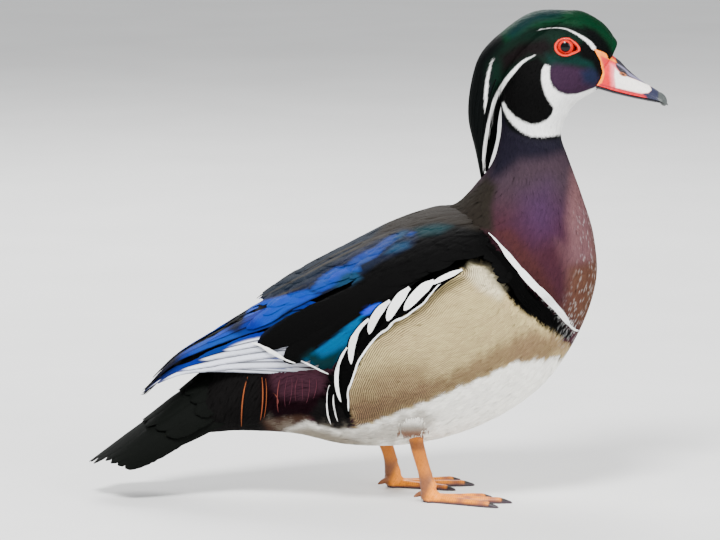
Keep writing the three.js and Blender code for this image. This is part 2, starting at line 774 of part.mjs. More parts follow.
// One toe: a round-topped bar with a flat sole, swollen at its joints, and a claw at its end.
function toe(heel, angle, length) {
  const ahead = point(Math.cos(angle), Math.sin(angle), 0);
  const across = point(-ahead.y, ahead.x, 0);
  const start = point(heel[0], heel[1], 0).addScaledVector(ahead, -4);
  const steps = 7;
  const rings = Array.from({ length: steps + 1 }, (_, i) => {
    const u = i / steps;
    const knuckle = 0.3 * Math.cos(6 * Math.PI * u) ** 2;
    const claw = smoothstep(u, 1 - CLAW / length, 1);
    const half = lerp(3.2, 2, u) + knuckle - 1.45 * claw;
    const high = lerp(5.6, 3.1, u ** 0.6) + knuckle - 2.1 * claw;
    const at = start.clone().addScaledVector(ahead, u * (length + 4));
    return Array.from({ length: 7 }, (_, k) => {
      const a = lerp(0, Math.PI, k / 6);
      return at
        .clone()
        .addScaledVector(across, half * Math.cos(a))
        .add(point(0, 0, high * Math.sin(a) ** 0.8));
    });
  });
  return skinned(rings);
}

// The web between two toes, its front edge drawn in.
function web(heel, from, to) {
  const spot = (angle, reach) => [heel[0] + reach * Math.cos(angle), heel[1] + reach * Math.sin(angle)];
  const outline = [[heel[0] - 1, heel[1]]];
  const steps = 8;
  for (let i = 0; i <= steps; i++) {
    const u = i / steps;
    const reach = lerp(from.length, to.length, u) - CLAW - 2;
    outline.push(spot(lerp(from.angle, to.angle, u), reach - 7 * Math.sin(Math.PI * u)));
  }
  const shape = new THREE.Shape(outline.map(([x, y]) => new THREE.Vector2(x, y)));
  const geometry = new THREE.ExtrudeGeometry(shape, { depth: WEB_THICK, bevelEnabled: false });
  geometry.translate(0, 0, 0.35);
  return solidOf(geometry);
}

function foot({ side, heel, heading }) {
  const toes = TOES.map(({ length, spread }) => ({ length, angle: heading + side * spread }));
  const bars = toes.map(({ angle, length }) => toe(heel, angle, length));
  const webs = [web(heel, toes[0], toes[1]), web(heel, toes[1], toes[2])];
  const [x, y] = heel;
  const ankle = tube(
    [point(x - 2, y, 0.8), point(x - 1.2, y, 4), point(x - 1, y, ANKLE_Z + 2)],
    [4.6, 5.4, 5.5, 5.2],
    10,
    0.86,
  );
  const back = (reach, out, z) => point(x - reach, y - side * out, z);
  const hallux = tube([back(2, 2, 5.5), back(6.5, 3.5, 4.2), back(10.5, 4, 2.2)], [2.2, 2, 1.5, 0.5], 7);
  const whole = joined([...bars, ...webs, ankle, hallux]);
  return whole.trimByPlane([0, 0, -1], GAP / 2 - ANKLE_Z).trimByPlane([0, 0, 1], 0);
}

// Assembly
const bodyCore = bodySolid(0);
const bodyClear = bodySolid(GAP);
const flanks = {};
const wings = {};
for (const side of [RIGHT, LEFT]) {
  const draw = drawsFrom(side === RIGHT ? 11 : 29);
  const flankClear = joined([flankPad(side, GAP), ...flankVanes(side, GAP)]);
  const wing = joined([
    wingCore(side),
    ...primaries(side, draw),
    ...secondaries(side, draw),
    ...tertials(side, draw),
    ...scapulars(side, draw),
  ]);
  wings[side] = largest(wing.subtract(bodyClear).subtract(flankClear));
  const flank = joined([flankPad(side), ...flankVanes(side)]);
  flanks[side] = largest(flank.subtract(bodyClear));
}

const draw = drawsFrom(7);
const crestSolid = largest(crest(draw).subtract(bodyClear));
const rumpCore = partedAt(bodyCore, RUMP_END, false);
const rump = largest(joined([rumpCore, ...rumpPlumes(RIGHT), ...rumpPlumes(LEFT)]));
const torso = partedAt(partedAt(bodyCore, RUMP_END, true), NECK_START, false);
const neck = partedAt(partedAt(bodyCore, NECK_START, true), HEAD_START, false);
const headWhole = partedAt(bodyCore, HEAD_START, true);

const eyeClear = joined([RIGHT, LEFT].flatMap((side) => [eyeball(side, GAP), lidRim(side, GAP)]));
const head = largest(headWhole.subtract(eyeClear).subtract(billArea(GAP)));
const billBase = headWhole.intersect(billArea(0));
const mouthLine = (sign) => {
  const line = MOUTH.map(([x, z]) => [x, z + (sign * GAP) / 2]);
  return sidePrism([...line, [180, 220 + 45 * (sign + 1)], [100, 220 + 45 * (sign + 1)], [100, line[0][1]]]);
};
const upperBase = billBase.intersect(mouthLine(1));
const besideBill = partedAt(bodyClear, HEAD_START, true).subtract(billArea(0));
const upper = largest(joined([billUpper(), upperBase]).subtract(besideBill).subtract(joined(nostrils())));
const lowerBase = billBase.intersect(mouthLine(-1));
const lower = largest(joined([billLower(), lowerBase]).subtract(besideBill));
const tailWhole = joined([tailCore(), ...tailFeathers(draw), ...tailCoverts(draw)]);
const tail = largest(tailWhole.subtract(bodyClear));

// Materials
function finish(color, roughness, metalness = 0) {
  return new THREE.MeshStandardMaterial({ color, roughness, metalness });
}
const FINISHES = {
  crownGreen: finish(0x0f4a33, 0.35, 0.2),
  neckPurple: finish(0x4a3a4c, 0.55),
  backBronze: finish(0x3b332c, 0.6),
  flankBuff: finish(0xbfa982, 0.7),
  wingBlue: finish(0x1c4a9a, 0.4, 0.2),
  tailBlack: finish(0x14170f, 0.5),
  rumpMaroon: finish(0x3f1a2a, 0.6),
  billRed: finish(0xd9484c, 0.35),
  billDark: finish(0x1c1c20, 0.4),
  lidRed: finish(0xe0402c, 0.4),
  eyeRed: finish(0x5a0f0a, 0.1),
  legYellow: finish(0xd08a2a, 0.55),
};

// Turns the head a little to the bird's right, winding the neck evenly.
function posed(x, y, z) {
  const turn = HEAD_TURN * smoothstep(z, TURN_FROM_Z, TURN_TO_Z);
  const [dx, c, s] = [x - NECK_AXIS_X, Math.cos(turn), Math.sin(turn)];
  return [NECK_AXIS_X + c * dx - s * y, s * dx + c * y, z];
}

function meshOf(name, solid, material, turned = false) {
  const made = solid.getMesh();
  const position = new Float32Array(made.numVert * 3);
  for (let i = 0; i < made.numVert; i++) {
    const [x, y, z] = made.vertProperties.subarray(i * made.numProp, i * made.numProp + 3);
    position.set(turned ? posed(x, y, z) : [x, y, z], i * 3);
  }
  const geometry = new THREE.BufferGeometry()
    .setAttribute("position", new THREE.BufferAttribute(position, 3))
    .setIndex(new THREE.BufferAttribute(made.triVerts, 1));
  geometry.computeVertexNormals();
  const mesh = new THREE.Mesh(geometry, material);
  mesh.name = name;
  return mesh;
}

const duck = new THREE.Group();
duck.add(
  meshOf("torso", torso, FINISHES.backBronze, true),
  meshOf("rump", rump, FINISHES.rumpMaroon),
  meshOf("neck", neck, FINISHES.neckPurple, true),
  meshOf("head", head, FINISHES.crownGreen, true),
  meshOf("crest", crestSolid, FINISHES.crownGreen, true),
  meshOf("bill_upper", upper, FINISHES.billRed, true),
  meshOf("bill_lower", lower, FINISHES.billDark, true),
  meshOf("tail", tail, FINISHES.tailBlack),
);
for (const side of [RIGHT, LEFT]) {
  const word = side === RIGHT ? "right" : "left";
  duck.add(
    meshOf(`eye_${word}`, eyeball(side), FINISHES.eyeRed, true),
    meshOf(`eyelids_${word}`, lidRim(side), FINISHES.lidRed, true),
    meshOf(`wing_${word}`, wings[side], FINISHES.wingBlue, true),
    meshOf(`flank_${word}`, flanks[side], FINISHES.flankBuff, true),
    meshOf(`leg_${word}`, leg(FEET[word]).subtract(bodyClear), FINISHES.legYellow),
    meshOf(`foot_${word}`, foot(FEET[word]), FINISHES.legYellow),
  );
}

export default duck;
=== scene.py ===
"""A life-size wood duck drake, dressed feather by feather over its solids.

Places on the bird's side are given as (column, row) of a flat side view, the plate, whose step is
0.575 mm. Both sides of the bird carry the same markings. Shapes are worked out in millimetres with
the head straight, and the head's slight turn comes last.
"""

import math

import bmesh
import bpy
import numpy as np
from bpy.props import FloatProperty, FloatVectorProperty, PointerProperty
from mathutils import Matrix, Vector
from mathutils.kdtree import KDTree


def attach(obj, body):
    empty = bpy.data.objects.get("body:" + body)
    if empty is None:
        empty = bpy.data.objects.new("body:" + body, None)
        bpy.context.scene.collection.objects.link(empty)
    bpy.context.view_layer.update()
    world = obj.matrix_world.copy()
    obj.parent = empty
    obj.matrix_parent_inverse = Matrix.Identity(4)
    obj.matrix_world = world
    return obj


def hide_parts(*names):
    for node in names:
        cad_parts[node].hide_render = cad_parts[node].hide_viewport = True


bl_info = {
    "name": "Wood duck drake",
    "version": (1, 0, 0),
    "blender": (4, 5, 0),
    "location": "View3D > Sidebar > Duck",
    "description": "Builds a life-size standing drake with skin, feathers, bill, eyes and feet",
    "category": "Add Mesh",
}

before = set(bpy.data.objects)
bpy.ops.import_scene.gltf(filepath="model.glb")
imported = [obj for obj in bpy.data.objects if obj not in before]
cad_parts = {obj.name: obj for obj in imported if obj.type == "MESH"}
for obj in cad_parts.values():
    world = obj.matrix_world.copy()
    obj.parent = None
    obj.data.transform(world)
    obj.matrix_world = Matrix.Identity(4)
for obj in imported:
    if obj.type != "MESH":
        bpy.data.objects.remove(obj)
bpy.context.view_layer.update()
MM = 0.001
RIGHT = -1
LEFT = 1
BOTH = (RIGHT, LEFT)
SIDES = ((RIGHT, "right"), (LEFT, "left"))

# The side view: its step in millimetres, its middle, and where it is seen from
PLATE_STEP = 0.575
PLATE_MIDDLE = (360, 270)
VIEW_TILT = math.radians(8)
VIEW_DISTANCE = 3600
VIEW_TARGET = np.array([-11.2, 0, 130.9])
VIEW_BACK = np.array([0, -math.cos(VIEW_TILT), math.sin(VIEW_TILT)])
VIEW_UP = np.array([0, math.sin(VIEW_TILT), math.cos(VIEW_TILT)])

# The head's turn
HEAD_TURN = math.radians(-5)
NECK_AXIS_X = 88
TURN_FROM_Z = 150
TURN_TO_Z = 222


# Small sums
def smoothstep(value, low, high):
    share = np.clip((value - low) / (high - low), 0, 1)
    return share * share * (3 - 2 * share)


def blend(a, b, share):
    return a + (b - a) * share


def unit(vectors):
    return vectors / np.linalg.norm(vectors, axis=-1, keepdims=True)


def dot(a, b):
    return np.sum(a * b, axis=-1)


def through(table, s):
    """The rows of a table as smooth curves, read at stations s."""
    last = len(table) - 1
    padded = np.vstack((2 * table[0] - table[1], table, 2 * table[-1] - table[-2]))
    i = np.clip(np.floor(s).astype(int), 0, last - 1)
    f = (s - i)[..., None]
    p0, p1, p2, p3 = (padded[i + k] for k in range(4))
    bend = 2 * p0 - 5 * p1 + 4 * p2 - p3
    return 0.5 * (2 * p1 + f * (p2 - p0 + f * (bend + f * (3 * p1 - p0 - 3 * p2 + p3))))


def curve(places, steps=5):
    """A smooth line through a few places of the plate."""
    table = np.array(places, float)
    return through(table, np.linspace(0, len(table) - 1, (len(table) - 1) * steps + 1))


def turned(points, way=1):
    """Turns the head and neck as in the solids, or back with a way of -1."""
    turn = way * HEAD_TURN * smoothstep(points[..., 2], TURN_FROM_Z, TURN_TO_Z)
    dx, y = points[..., 0] - NECK_AXIS_X, points[..., 1]
    x = NECK_AXIS_X + np.cos(turn) * dx - np.sin(turn) * y
    return np.stack((x, np.sin(turn) * dx + np.cos(turn) * y, points[..., 2]), -1)


def settled(points):
    return turned(points) * MM


def plate_of(points):
    """Where points show in the side view. Those of the left side count as their twins on the right."""
    twins = np.stack((points[..., 0], -np.abs(points[..., 1]), points[..., 2]), -1)
    seen = turned(twins) - VIEW_TARGET
    zoom = VIEW_DISTANCE / (VIEW_DISTANCE - seen @ VIEW_BACK) / PLATE_STEP
    return np.stack((PLATE_MIDDLE[0] + seen[..., 0] * zoom, PLATE_MIDDLE[1] - (seen @ VIEW_UP) * zoom), -1)


def unsettled(points):
    """Puts points of the frame, in metres, back to millimetres with the head straight."""
    return turned(points / MM, -1)


# The surfaces that feathers lie on, repeated from the solids. A body row holds the back's x and z,
# the belly's x and z, the half width and how low the widest level is.
BODY = np.array([
    (-105, 62, -96, 37, 19, 0),
    (-80, 96, -77, 38, 27, 0.05),
    (-51, 119, -48, 36.5, 37, 0.12),
    (-22, 138, -20, 30.5, 45, 0.16),
    (6, 154, 12, 30, 50, 0.16),
    (29, 164, 43, 36, 52, 0.12),
    (43.5, 169, 72, 48.5, 50.5, 0.08),
    (51, 175.5, 97, 68, 46, 0.05),
    (56.5, 182, 115, 96, 39, 0),
    (62, 188.5, 124.5, 125, 31, 0),
    (66, 195.5, 123, 151, 24, 0),
    (68, 202.5, 116.5, 173, 19.5, 0),
    (69.5, 210, 108.5, 195, 16.5, 0),
    (70, 218, 104, 208.5, 16, 0),
    (69.5, 228, 106.5, 218.5, 17, 0.05),
    (69.5, 239, 110.5, 226, 18, 0.12),
    (72, 252, 117.5, 231.5, 18, 0.16),
    (79.5, 265.5, 124, 235, 16.8, 0.18),
    (95, 277, 127.5, 238, 14.6, 0.18),
    (112.5, 280.5, 129, 243, 12.4, 0.15),
    (125.5, 274, 131, 248.5, 9.6, 0.1),
    (133, 263.5, 133, 254, 5.5, 0),
])
BODY_END = len(BODY) - 1
# A mantle row holds the ridge's x and z, the widest level's x and z, and the half width.
MANTLE = np.array([
    (-138, 62, -135, 60, 14),
    (-120, 81, -113, 70, 20),
    (-103, 93, -90, 75.5, 27),
    (-80, 107.5, -64, 82, 36),
    (-51.5, 127.5, -36, 91, 46),
    (-22.5, 143, -8, 102, 54),
    (6, 158, 20, 116, 58),
    (29, 166, 46, 128, 58),
    (43.5, 168.5, 68, 134, 53),
    (50, 170, 84, 138, 44),
])
TAIL = np.array([(-92, 79, -84, 47, 19), (-128, 49, -117, 31.5, 24), (-166, 20, -150, 16, 27)])
# A crest row holds the rear edge's x and z, the front edge's x and z, the half width and a nought.
CREST = np.array([
    (112, 281, 112, 275, 7, 0),
    (88, 280, 92, 262, 11, 0),
    (69, 267.5, 80, 250, 11.5, 0),
    (57, 254, 71, 238, 8.5, 0),
    (52, 236, 66, 222, 6, 0),
    (51, 218, 64, 208, 5, 0),
    (55, 200, 61, 194, 3.4, 0),
    (58.5, 183.5, 59.5, 184.5, 1.2, 0),
])
EYE = {"x": 107.2, "y": 9.3, "z": 261.5, "radius": 6.2, "mound": 8.5, "rise": 2.5}

# Where the flank's raised feathers start and end, as pairs of body station and angle
FLANK_TOP = [
    (2.6, 118), (2.8, 98), (3, 83), (3.5, 69), (4, 61), (5, 57), (6, 60), (6.5, 68), (7, 88), (7.8, 138),
]
FLANK_BOTTOM = [(2.6, 136), (3, 138), (4, 131), (5, 125), (6, 125), (7, 131), (7.8, 148)]
FLANK_RISE = 6.6
FOREHEAD_RISE = 1.4
FOREHEAD_REACH = 2


def between(pairs, place):
    return np.interp(place, [one[0] for one in pairs], [one[1] for one in pairs])


def loft_at(table, s, degrees, side, lift, mound=0):
    a = np.radians(degrees)
    row = through(table, s)
    middle = (row[..., 0:2] + row[..., 2:4]) / 2
    up = (row[..., 0:2] - row[..., 2:4]) / 2
    reach = np.linalg.norm(up, axis=-1)
    spot = middle + up * (np.cos(a) * (reach + lift) / reach)[..., None]
    if mound:
        away = np.hypot(spot[..., 0] - EYE["x"], spot[..., 1] - EYE["z"]) / EYE["mound"]
        lift = lift + mound * np.exp(-away * away) * (s > 14)
    across = side * (row[..., 4] * (1 - row[..., 5] * np.cos(a)) + lift) * np.sin(a)
    return np.stack((spot[..., 0], across, spot[..., 1]), -1)


def arch_at(table, s, degrees, side, lift):
    a = np.radians(degrees)
    row = through(table, s)
    up = row[..., 0:2] - row[..., 2:4]
    reach = np.linalg.norm(up, axis=-1)
    spot = row[..., 2:4] + up * (np.cos(a) * (reach + lift) / reach)[..., None]
    return np.stack((spot[..., 0], side * (row[..., 4] + lift) * np.sin(a), spot[..., 1]), -1)


def flank_relief(s, degrees):
    """How far the flank's feathers stand out from the body."""
    top = between(FLANK_TOP, s)
    share = (np.abs(degrees) - top) / (between(FLANK_BOTTOM, s) - top)
    along = smoothstep(s, 2.3, 4) * (1 - smoothstep(s, 5.6, 7.6))
    down = 1 - smoothstep(share, 0.25, 1)
    rise = 1 + FLANK_RISE * down * blend(0.5, 1, along) * (1 - smoothstep(s, 6, 7.7))
    inside = smoothstep(share, -0.1, 0.02) * (1 - smoothstep(share, 0.8, 1.15))
    return rise * inside * smoothstep(s, 2.35, 2.75) * (1 - smoothstep(s, 7.4, 8))


class Surface:
    """A surface given by station, angle, side and lift, with what is needed to lay feathers on it."""

    def __init__(self, at, last, widest=180):
        self.at = at
        self.last = last
        self.widest = widest
        self.seen = None

    def slopes(self, s, degrees, side):
        """Steps along a station and along a degree, and the outward direction."""
        along = (self.at(s + 0.02, degrees, side, 0) - self.at(s - 0.02, degrees, side, 0)) / 0.04
        round_ = self.at(s, degrees + 0.5, side, 0) - self.at(s, degrees - 0.5, side, 0)
        normal = unit(np.cross(along, round_))
        raised = self.at(s, degrees, side, 1) - self.at(s, degrees, side, 0)
        return along, round_, normal * np.sign(dot(raised, normal))[..., None]

    def unwrapped(self, s, degrees, side):
        """A place on the surface's own flat unwrap, from 0 to 1."""
        across = 0.5 + 0.48 * side * degrees / self.widest
        return np.stack((across, 0.02 + 0.96 * np.clip(s / self.last, 0, 1)), -1)

    def shown(self):
        """A fine grid of stations and angles of the right side with the places where they show."""
        if self.seen is None:
            s, degrees = np.meshgrid(np.linspace(0, self.last, 300), np.linspace(0, self.widest, 300))
            s, degrees = s.ravel(), degrees.ravel()
            facing = self.slopes(s, degrees, RIGHT)[2][:, 1] < -0.02
            stations = np.stack((s, degrees), -1)[facing]
            self.seen = stations, plate_of(self.at(s, degrees, RIGHT, 0))[facing]
        return self.seen

    def station_of(self, places):
        """Stations and angles whose points show at the given places of the plate."""
        stations, shown = self.shown()
        nearest = [np.hypot(*(shown - place).T).argmin() for place in np.array(places, float)]
        return stations[nearest]


def forehead(s, degrees):
    return smoothstep(s, 17.6, 20.4) * (1 - smoothstep(np.abs(degrees), 40, 100))


def body_at(s, degrees, side, lift):
    bulge = forehead(s, degrees)
    lift = lift + flank_relief(s, degrees) + FOREHEAD_RISE * bulge
    points = loft_at(BODY, s, degrees, side, lift, EYE["rise"])
    brow = 1.8 * smoothstep(s, 20, 21) * np.exp(-(((np.abs(degrees) - 85) / 40) ** 2))
    ahead = FOREHEAD_REACH * bulge * smoothstep(s, 19.4, 21) + brow
    return points + np.stack((ahead, 0 * s, 0 * s), -1)


body = Surface(body_at, BODY_END)
mantle = Surface(lambda s, degrees, side, lift: arch_at(MANTLE, s, degrees, side, lift), 9, 120)
tail = Surface(lambda s, degrees, side, lift: arch_at(TAIL, s, degrees, side, lift), 2.1, 120)
crest = Surface(lambda s, degrees, side, lift: loft_at(CREST, s, degrees, side, lift), 7)


# Marks on the plate
def from_step(places, a, b):
    """How far places lie from the straight step from a to b, and at which share of it they are nearest."""
    step = b - a
    share = np.clip(dot(places - a, step) / dot(step, step), 0, 1)
    return np.linalg.norm(places - a - share[..., None] * step, axis=-1), share


def stroke(places, line, halves, soft=0.9):
    """How far each place lies on a line of the given half widths, from 0 to 1."""
    line = np.asarray(line, float)
    halves = np.interp(np.linspace(0, 1, len(line)), np.linspace(0, 1, len(halves)), halves)
    best = np.full(places.shape[:-1], -1e9)
    for a, b, wide_a, wide_b in zip(line[:-1], line[1:], halves[:-1], halves[1:]):
        away, share = from_step(places, a, b)
        best = np.maximum(best, blend(wide_a, wide_b, share) - away)
    return smoothstep(best, -soft / 2, soft / 2)


def area(places, outline, soft=1.2):
    """How far each place lies inside an outline, from 0 to 1."""
    outline = np.asarray(outline, float)
    inside = np.zeros(places.shape[:-1], bool)
    near = np.full(places.shape[:-1], 1e9)
    for a, b in zip(outline, np.roll(outline, -1, axis=0)):
        near = np.minimum(near, from_step(places, a, b)[0])
        spans = (a[1] > places[..., 1]) != (b[1] > places[..., 1])
        step = b - a
        rise = step[1] if step[1] else 1e-9
        inside ^= spans & (places[..., 0] < a[0] + (places[..., 1] - a[1]) * step[0] / rise)
    return smoothstep(np.where(inside, near, -near), -soft / 2, soft / 2)


class Paint:
    """Colour and gloss that marks are laid on, one after the other."""

    def __init__(self, places, colour, gloss=0.1):
        self.places = places
        self.colour = np.broadcast_to(np.array(colour[:]), places.shape[:-1] + (3,)).copy()
        self.gloss = np.full(places.shape[:-1], float(gloss))

    def lay(self, cover, colour, gloss=None):
        self.colour = blend(self.colour, np.array(colour[:]), cover[..., None])
        if gloss is not None:
            self.gloss = blend(self.gloss, gloss, cover)

    def lay_rows(self, rows, c):
        """Lays rows of a colour's name, strength, gloss, softness and outline.

        Half widths at the end of a row make it a line. A gloss of None leaves the gloss as it is.
        """
        for colour, strength, gloss, soft, outline, *halves in rows:
            if halves:
                cover = stroke(self.places, curve(outline), halves[0], soft)
            else:
                cover = area(self.places, outline, soft)
            self.lay(strength * cover, getattr(c, colour), gloss)


# The head's marks
BROW = [(538, 30), (547, 28.4), (558, 27.8), (566.6, 29.2), (575, 33), (582, 37.2), (589, 42.2), (594, 48)]
CREST_LINE = [(493, 58.5), (490.4, 66), (488, 76), (486.2, 90), (485.6, 105), (486.2, 119), (487, 133)]
CHEEK_LINE = [
    (535, 55.2), (523, 61.7), (513.3, 71.6), (506.3, 80), (499.3, 91.2), (494.4, 101), (491.4, 112),
    (488.8, 123.5), (486.7, 134.7), (485, 146), (483.9, 158), (483.4, 170),
]
SPUR = [
    (545, 64), (549.8, 66.6), (549.3, 73), (549.8, 80), (552.6, 87), (558.2, 92), (566.6, 94.8), (576.5, 94),
    (586.3, 90.8), (597.5, 86.5),
]
COLLAR_FRONT = [(598.5, 90.5), (590, 96), (580, 102), (577, 110), (574, 122), (566, 134), (560.3, 134.4)]
COLLAR_UNDER = [
    (551, 136), (541.4, 136.9), (530.2, 136.1), (521.7, 132), (513.3, 125), (507.4, 118), (503.5, 110),
    (501.8, 103.5),
]
COLLAR_INNER = [
    (504, 102.2), (507.7, 109.4), (514.7, 116.5), (523.1, 122), (531.6, 124.6), (540, 123.5), (547, 120),
    (551.9, 114.4), (553.8, 108),
]
SPUR_REAR = [(549.8, 102.4), (545.6, 95.4), (542.8, 87), (541.4, 78.6), (541.8, 70.2)]
COLLAR = SPUR + COLLAR_FRONT + COLLAR_UNDER + COLLAR_INNER + SPUR_REAR
CHEEK = [
    (547, 68), (556, 64), (572, 66), (588, 70), (598, 76), (600, 86), (584, 94), (571, 96), (558, 92),
    (551, 84),
]
DARK_PATCH = [
    (538, 57), (544, 64), (541, 80), (545, 92), (554, 106), (550, 118), (540, 124), (530, 125), (512, 116),
    (503, 104), (500, 92), (505, 80), (520, 64),
]


HEAD_MARKS = [
    ("dark_green", 1, 0.6, 16, [
        (488, 66), (505, 44), (530, 30), (560, 28), (585, 38), (590, 50), (560, 66), (530, 66), (505, 84),
        (490, 100),
    ]),
    ("temple", 1, 0.4, 12, [
        (500, 56), (520, 43), (545, 38), (553, 46), (548, 58), (530, 56), (515, 64), (503, 74),
    ]),
    ("crown", 1, 0.75, 7, [
        (498, 30), (530, 8), (570, 2), (600, 10), (618, 36), (624, 60), (616, 58), (604, 42), (584, 28),
        (558, 24), (530, 28), (506, 42),
    ]),
    ("crown_teal", 1, 0.75, 10, [
        (505, 34), (520, 18), (545, 8), (565, 8), (560, 17), (535, 22), (512, 38),
    ]),
    ("crest_black", 1, 0.4, 7, [
        (584, 26), (596, 30), (607, 42), (613, 58), (604, 54), (596, 44), (586, 34),
    ]),
    ("eye_green", 1, 0.6, 10, [
        (546, 54), (552, 70), (570, 66), (588, 68), (600, 74), (596, 58), (580, 56), (562, 60),
    ]),
    ("cheek", 1, 0.55, 10, CHEEK),
    ("cheek_blue", 1, 0.6, 10, [(581, 72), (590, 68), (599, 70), (600, 80), (594, 86), (584, 82)]),
    ("black", 1, 0.3, 6, [
        (576, 50), (584, 40), (592, 46), (602, 62), (604, 80), (598, 74), (592, 62), (582, 58),
    ]),
    ("black", 1, 0.15, 5, DARK_PATCH),
    ("collar_black", 1, 0.3, 4, [
        (497, 98), (499, 116), (506, 132), (524, 143), (545, 145), (568, 142),
    ], [3, 5, 5]),
    ("white", 1, 0.05, 0.6, BROW, [0.1, 0.15, 0.2, 0.4, 0.8, 1.25, 1.8, 1.9]),
    ("white", 1, 0.05, 0.8, CREST_LINE, [0.2, 0.6, 1.1, 1.5, 1.2, 0.8, 0.6]),
    ("collar_black", 1, 0.1, 0.8, [
        (492.3, 72), (490.6, 86), (489, 100), (488.3, 112),
    ], [0.2, 0.5, 0.4, 0.2]),
    ("white", 1, 0.05, 0.8, CHEEK_LINE, [0.3, 1.3, 1.9, 2, 2, 1.8, 1.6, 1.5, 1.6, 1.5, 1.1, 0.3]),
    ("white", 1, 0.1, 0.8, [(496.5, 104), (493.8, 116), (491, 128), (488.6, 140)], [0.2, 0.6, 0.5, 0.2]),
    ("white", 1, 0.02, 1.4, COLLAR),
]


def head_paint(places, c):
    mark = Paint(places, c.crest_black, 0.5)
    mark.lay_rows(HEAD_MARKS, c)
    return mark


# The body's marks
SHOULDER_BAR = [
    (488, 233), (499, 245), (514, 262), (530, 281), (545, 297), (558, 311), (570, 324), (577, 331),
]
BAR_HALVES = [0.9, 2.5, 3.6, 3.9, 4, 3.8, 3, 1.2]
SHOULDER_BLACK = [
    (470, 236), (484, 246), (498, 262), (512, 280), (526, 298), (541, 312), (554, 323), (566, 334),
]
BAND_FOOT = [(498, 272), (509, 290), (520, 309), (538, 321), (556, 333)]
FLANK_EDGE = [
    (459, 272.5), (446, 279.5), (439, 285), (429, 295.5), (420, 306), (407, 314.5), (395, 322), (384, 330.5),
    (374, 337.5), (365.5, 350), (358, 365), (352, 378), (348, 391), (348, 404), (353, 417),
]
WING_EDGE = [
    (492, 266), (484, 261), (474, 261), (462, 265), (448, 268), (436, 275), (424, 279), (412, 284),
    (400, 292), (390, 299), (378, 306), (368, 316), (359, 326), (350, 338), (344, 348), (336, 361),
    (329, 374), (325, 386), (322, 400), (323, 412), (330, 424),
]
BELLY_EDGE = [
    (322, 424), (338, 427), (352, 429), (372, 422), (394, 414), (410, 407), (427, 401.5), (444, 394),
    (462, 385.5), (478, 379), (500, 369), (509, 363), (523, 361), (545, 359), (562, 357), (577, 347),
    (592, 334),
]
FLANK_AREA = FLANK_EDGE[::-1] + [
    (470, 266), (482, 265), (490, 269), (498, 280), (506, 293), (515, 307), (530, 316), (545, 327),
    (558, 336), (572, 347), (562, 357), (545, 359), (523, 361), (509, 363), (500, 369), (478, 379),
    (462, 385.5), (444, 394), (427, 401.5), (410, 407), (394, 414), (372, 422), (356, 427),
]
# All that the flank's feathers cover, up to the wing's lower edge
FLANK_COVER = WING_EDGE + [(352, 432)] + BELLY_EDGE[3:-1] + [
    (574, 345), (558, 335), (530, 315), (513, 300), (501, 282),
]
UNDERTAIL = [
    (180, 350), (262, 345), (330, 350), (326, 400), (314, 414), (298, 421), (270, 436), (240, 444),
    (180, 450),
]


def uneven(places, reach):
    """Places shifted a little up and down, so that an edge between two colours runs unevenly."""
    column, row = places[..., 0], places[..., 1]
    wave = np.sin(0.33 * column + 0.9) + 0.7 * np.sin(0.81 * column + 0.13 * row)
    wave = wave + 0.5 * np.sin(1.9 * column + 2)
    return places + np.stack((0 * wave, reach * wave), -1)


BREAST_MARKS = [
    ("collar_black", 1, 0.3, 16, [
        (500, 120), (575, 128), (568, 150), (545, 158), (520, 160), (500, 176), (488, 180),
    ]),
    # Painted violet sheen, a highlight on the upper breast
    ("breast_violet", 0.6, 0.3, 40, [
        (524, 196), (548, 184), (562, 212), (556, 236), (536, 240), (520, 224),
    ]),
    ("burgundy", 1, 0.2, 14, [
        (494, 232), (510, 230), (528, 252), (546, 276), (562, 302), (574, 322), (566, 318), (540, 292),
        (520, 268), (504, 248),
    ]),
    ("breast_front", 1, 0.15, 14, [(572, 170), (620, 170), (620, 268), (572, 262), (566, 220)]),
    ("breast_front", 0.5, None, 16, [(556, 240), (580, 250), (584, 290), (570, 286)]),
    ("breast_brown", 1, 0.05, 18, [(570, 268), (620, 255), (610, 340), (580, 334), (566, 312)]),
    ("breast_rim", 0.7, None, 12, [(591, 215), (640, 200), (640, 345), (586, 338), (592, 300), (595, 260)]),
    ("back_bronze", 1, 0.15, 10, [
        (360, 190), (440, 200), (470, 190), (486, 176), (497, 186), (492, 206), (494, 232), (470, 230),
        (440, 226), (400, 233),
    ]),
    ("black", 1, 0.2, 4, [
        (380, 230), (420, 225), (456, 225), (474, 229), (490, 235), (500, 262), (470, 290), (330, 330),
        (230, 340), (250, 300),
    ]),
]
REAR_MARKS = [
    ("belly_grey", 1, 0, 8, [(285, 430), (300, 436), (340, 446), (370, 444), (340, 436), (310, 428)]),
    ("undertail", 1, 0.1, 6, UNDERTAIL),
    ("maroon_deep", 1, 0.25, 8, [
        (262, 372), (330, 372), (326, 400), (314, 414), (300, 419), (276, 420), (262, 404),
    ]),
    ("maroon", 1, 0.3, 10, [(272, 366), (326, 366), (326, 390), (302, 400), (280, 398), (270, 384)]),
    ("undertail_brown", 1, 0.1, 6, [(262, 420), (300, 415), (312, 417), (296, 426), (268, 432)]),
    ("black", 1, 0.2, 1.5, WING_EDGE + FLANK_EDGE[::-1]),
    ("undertail", 1, 0.1, 4, [(320, 398), (348, 410), (354, 426), (340, 430), (318, 425), (310, 414)]),
    ("black", 1, 0.2, 2, BAND_FOOT, [7, 7]),
]
SHOULDER_MARKS = [
    ("flank_cream", 1, 0, 10, [(470, 262), (492, 268), (506, 286), (500, 300), (480, 290), (468, 276)]),
    ("black", 1, 0.2, 2, SHOULDER_BLACK, [5, 7.5, 9, 10, 10, 9, 6]),
    ("white", 1, 0, 1, SHOULDER_BAR[4:], 0.3 * np.array(BAR_HALVES[4:])),
]
UNDER_BELLY = [(640, 330), (560, 480), (300, 480), (285, 430), (298, 421)]
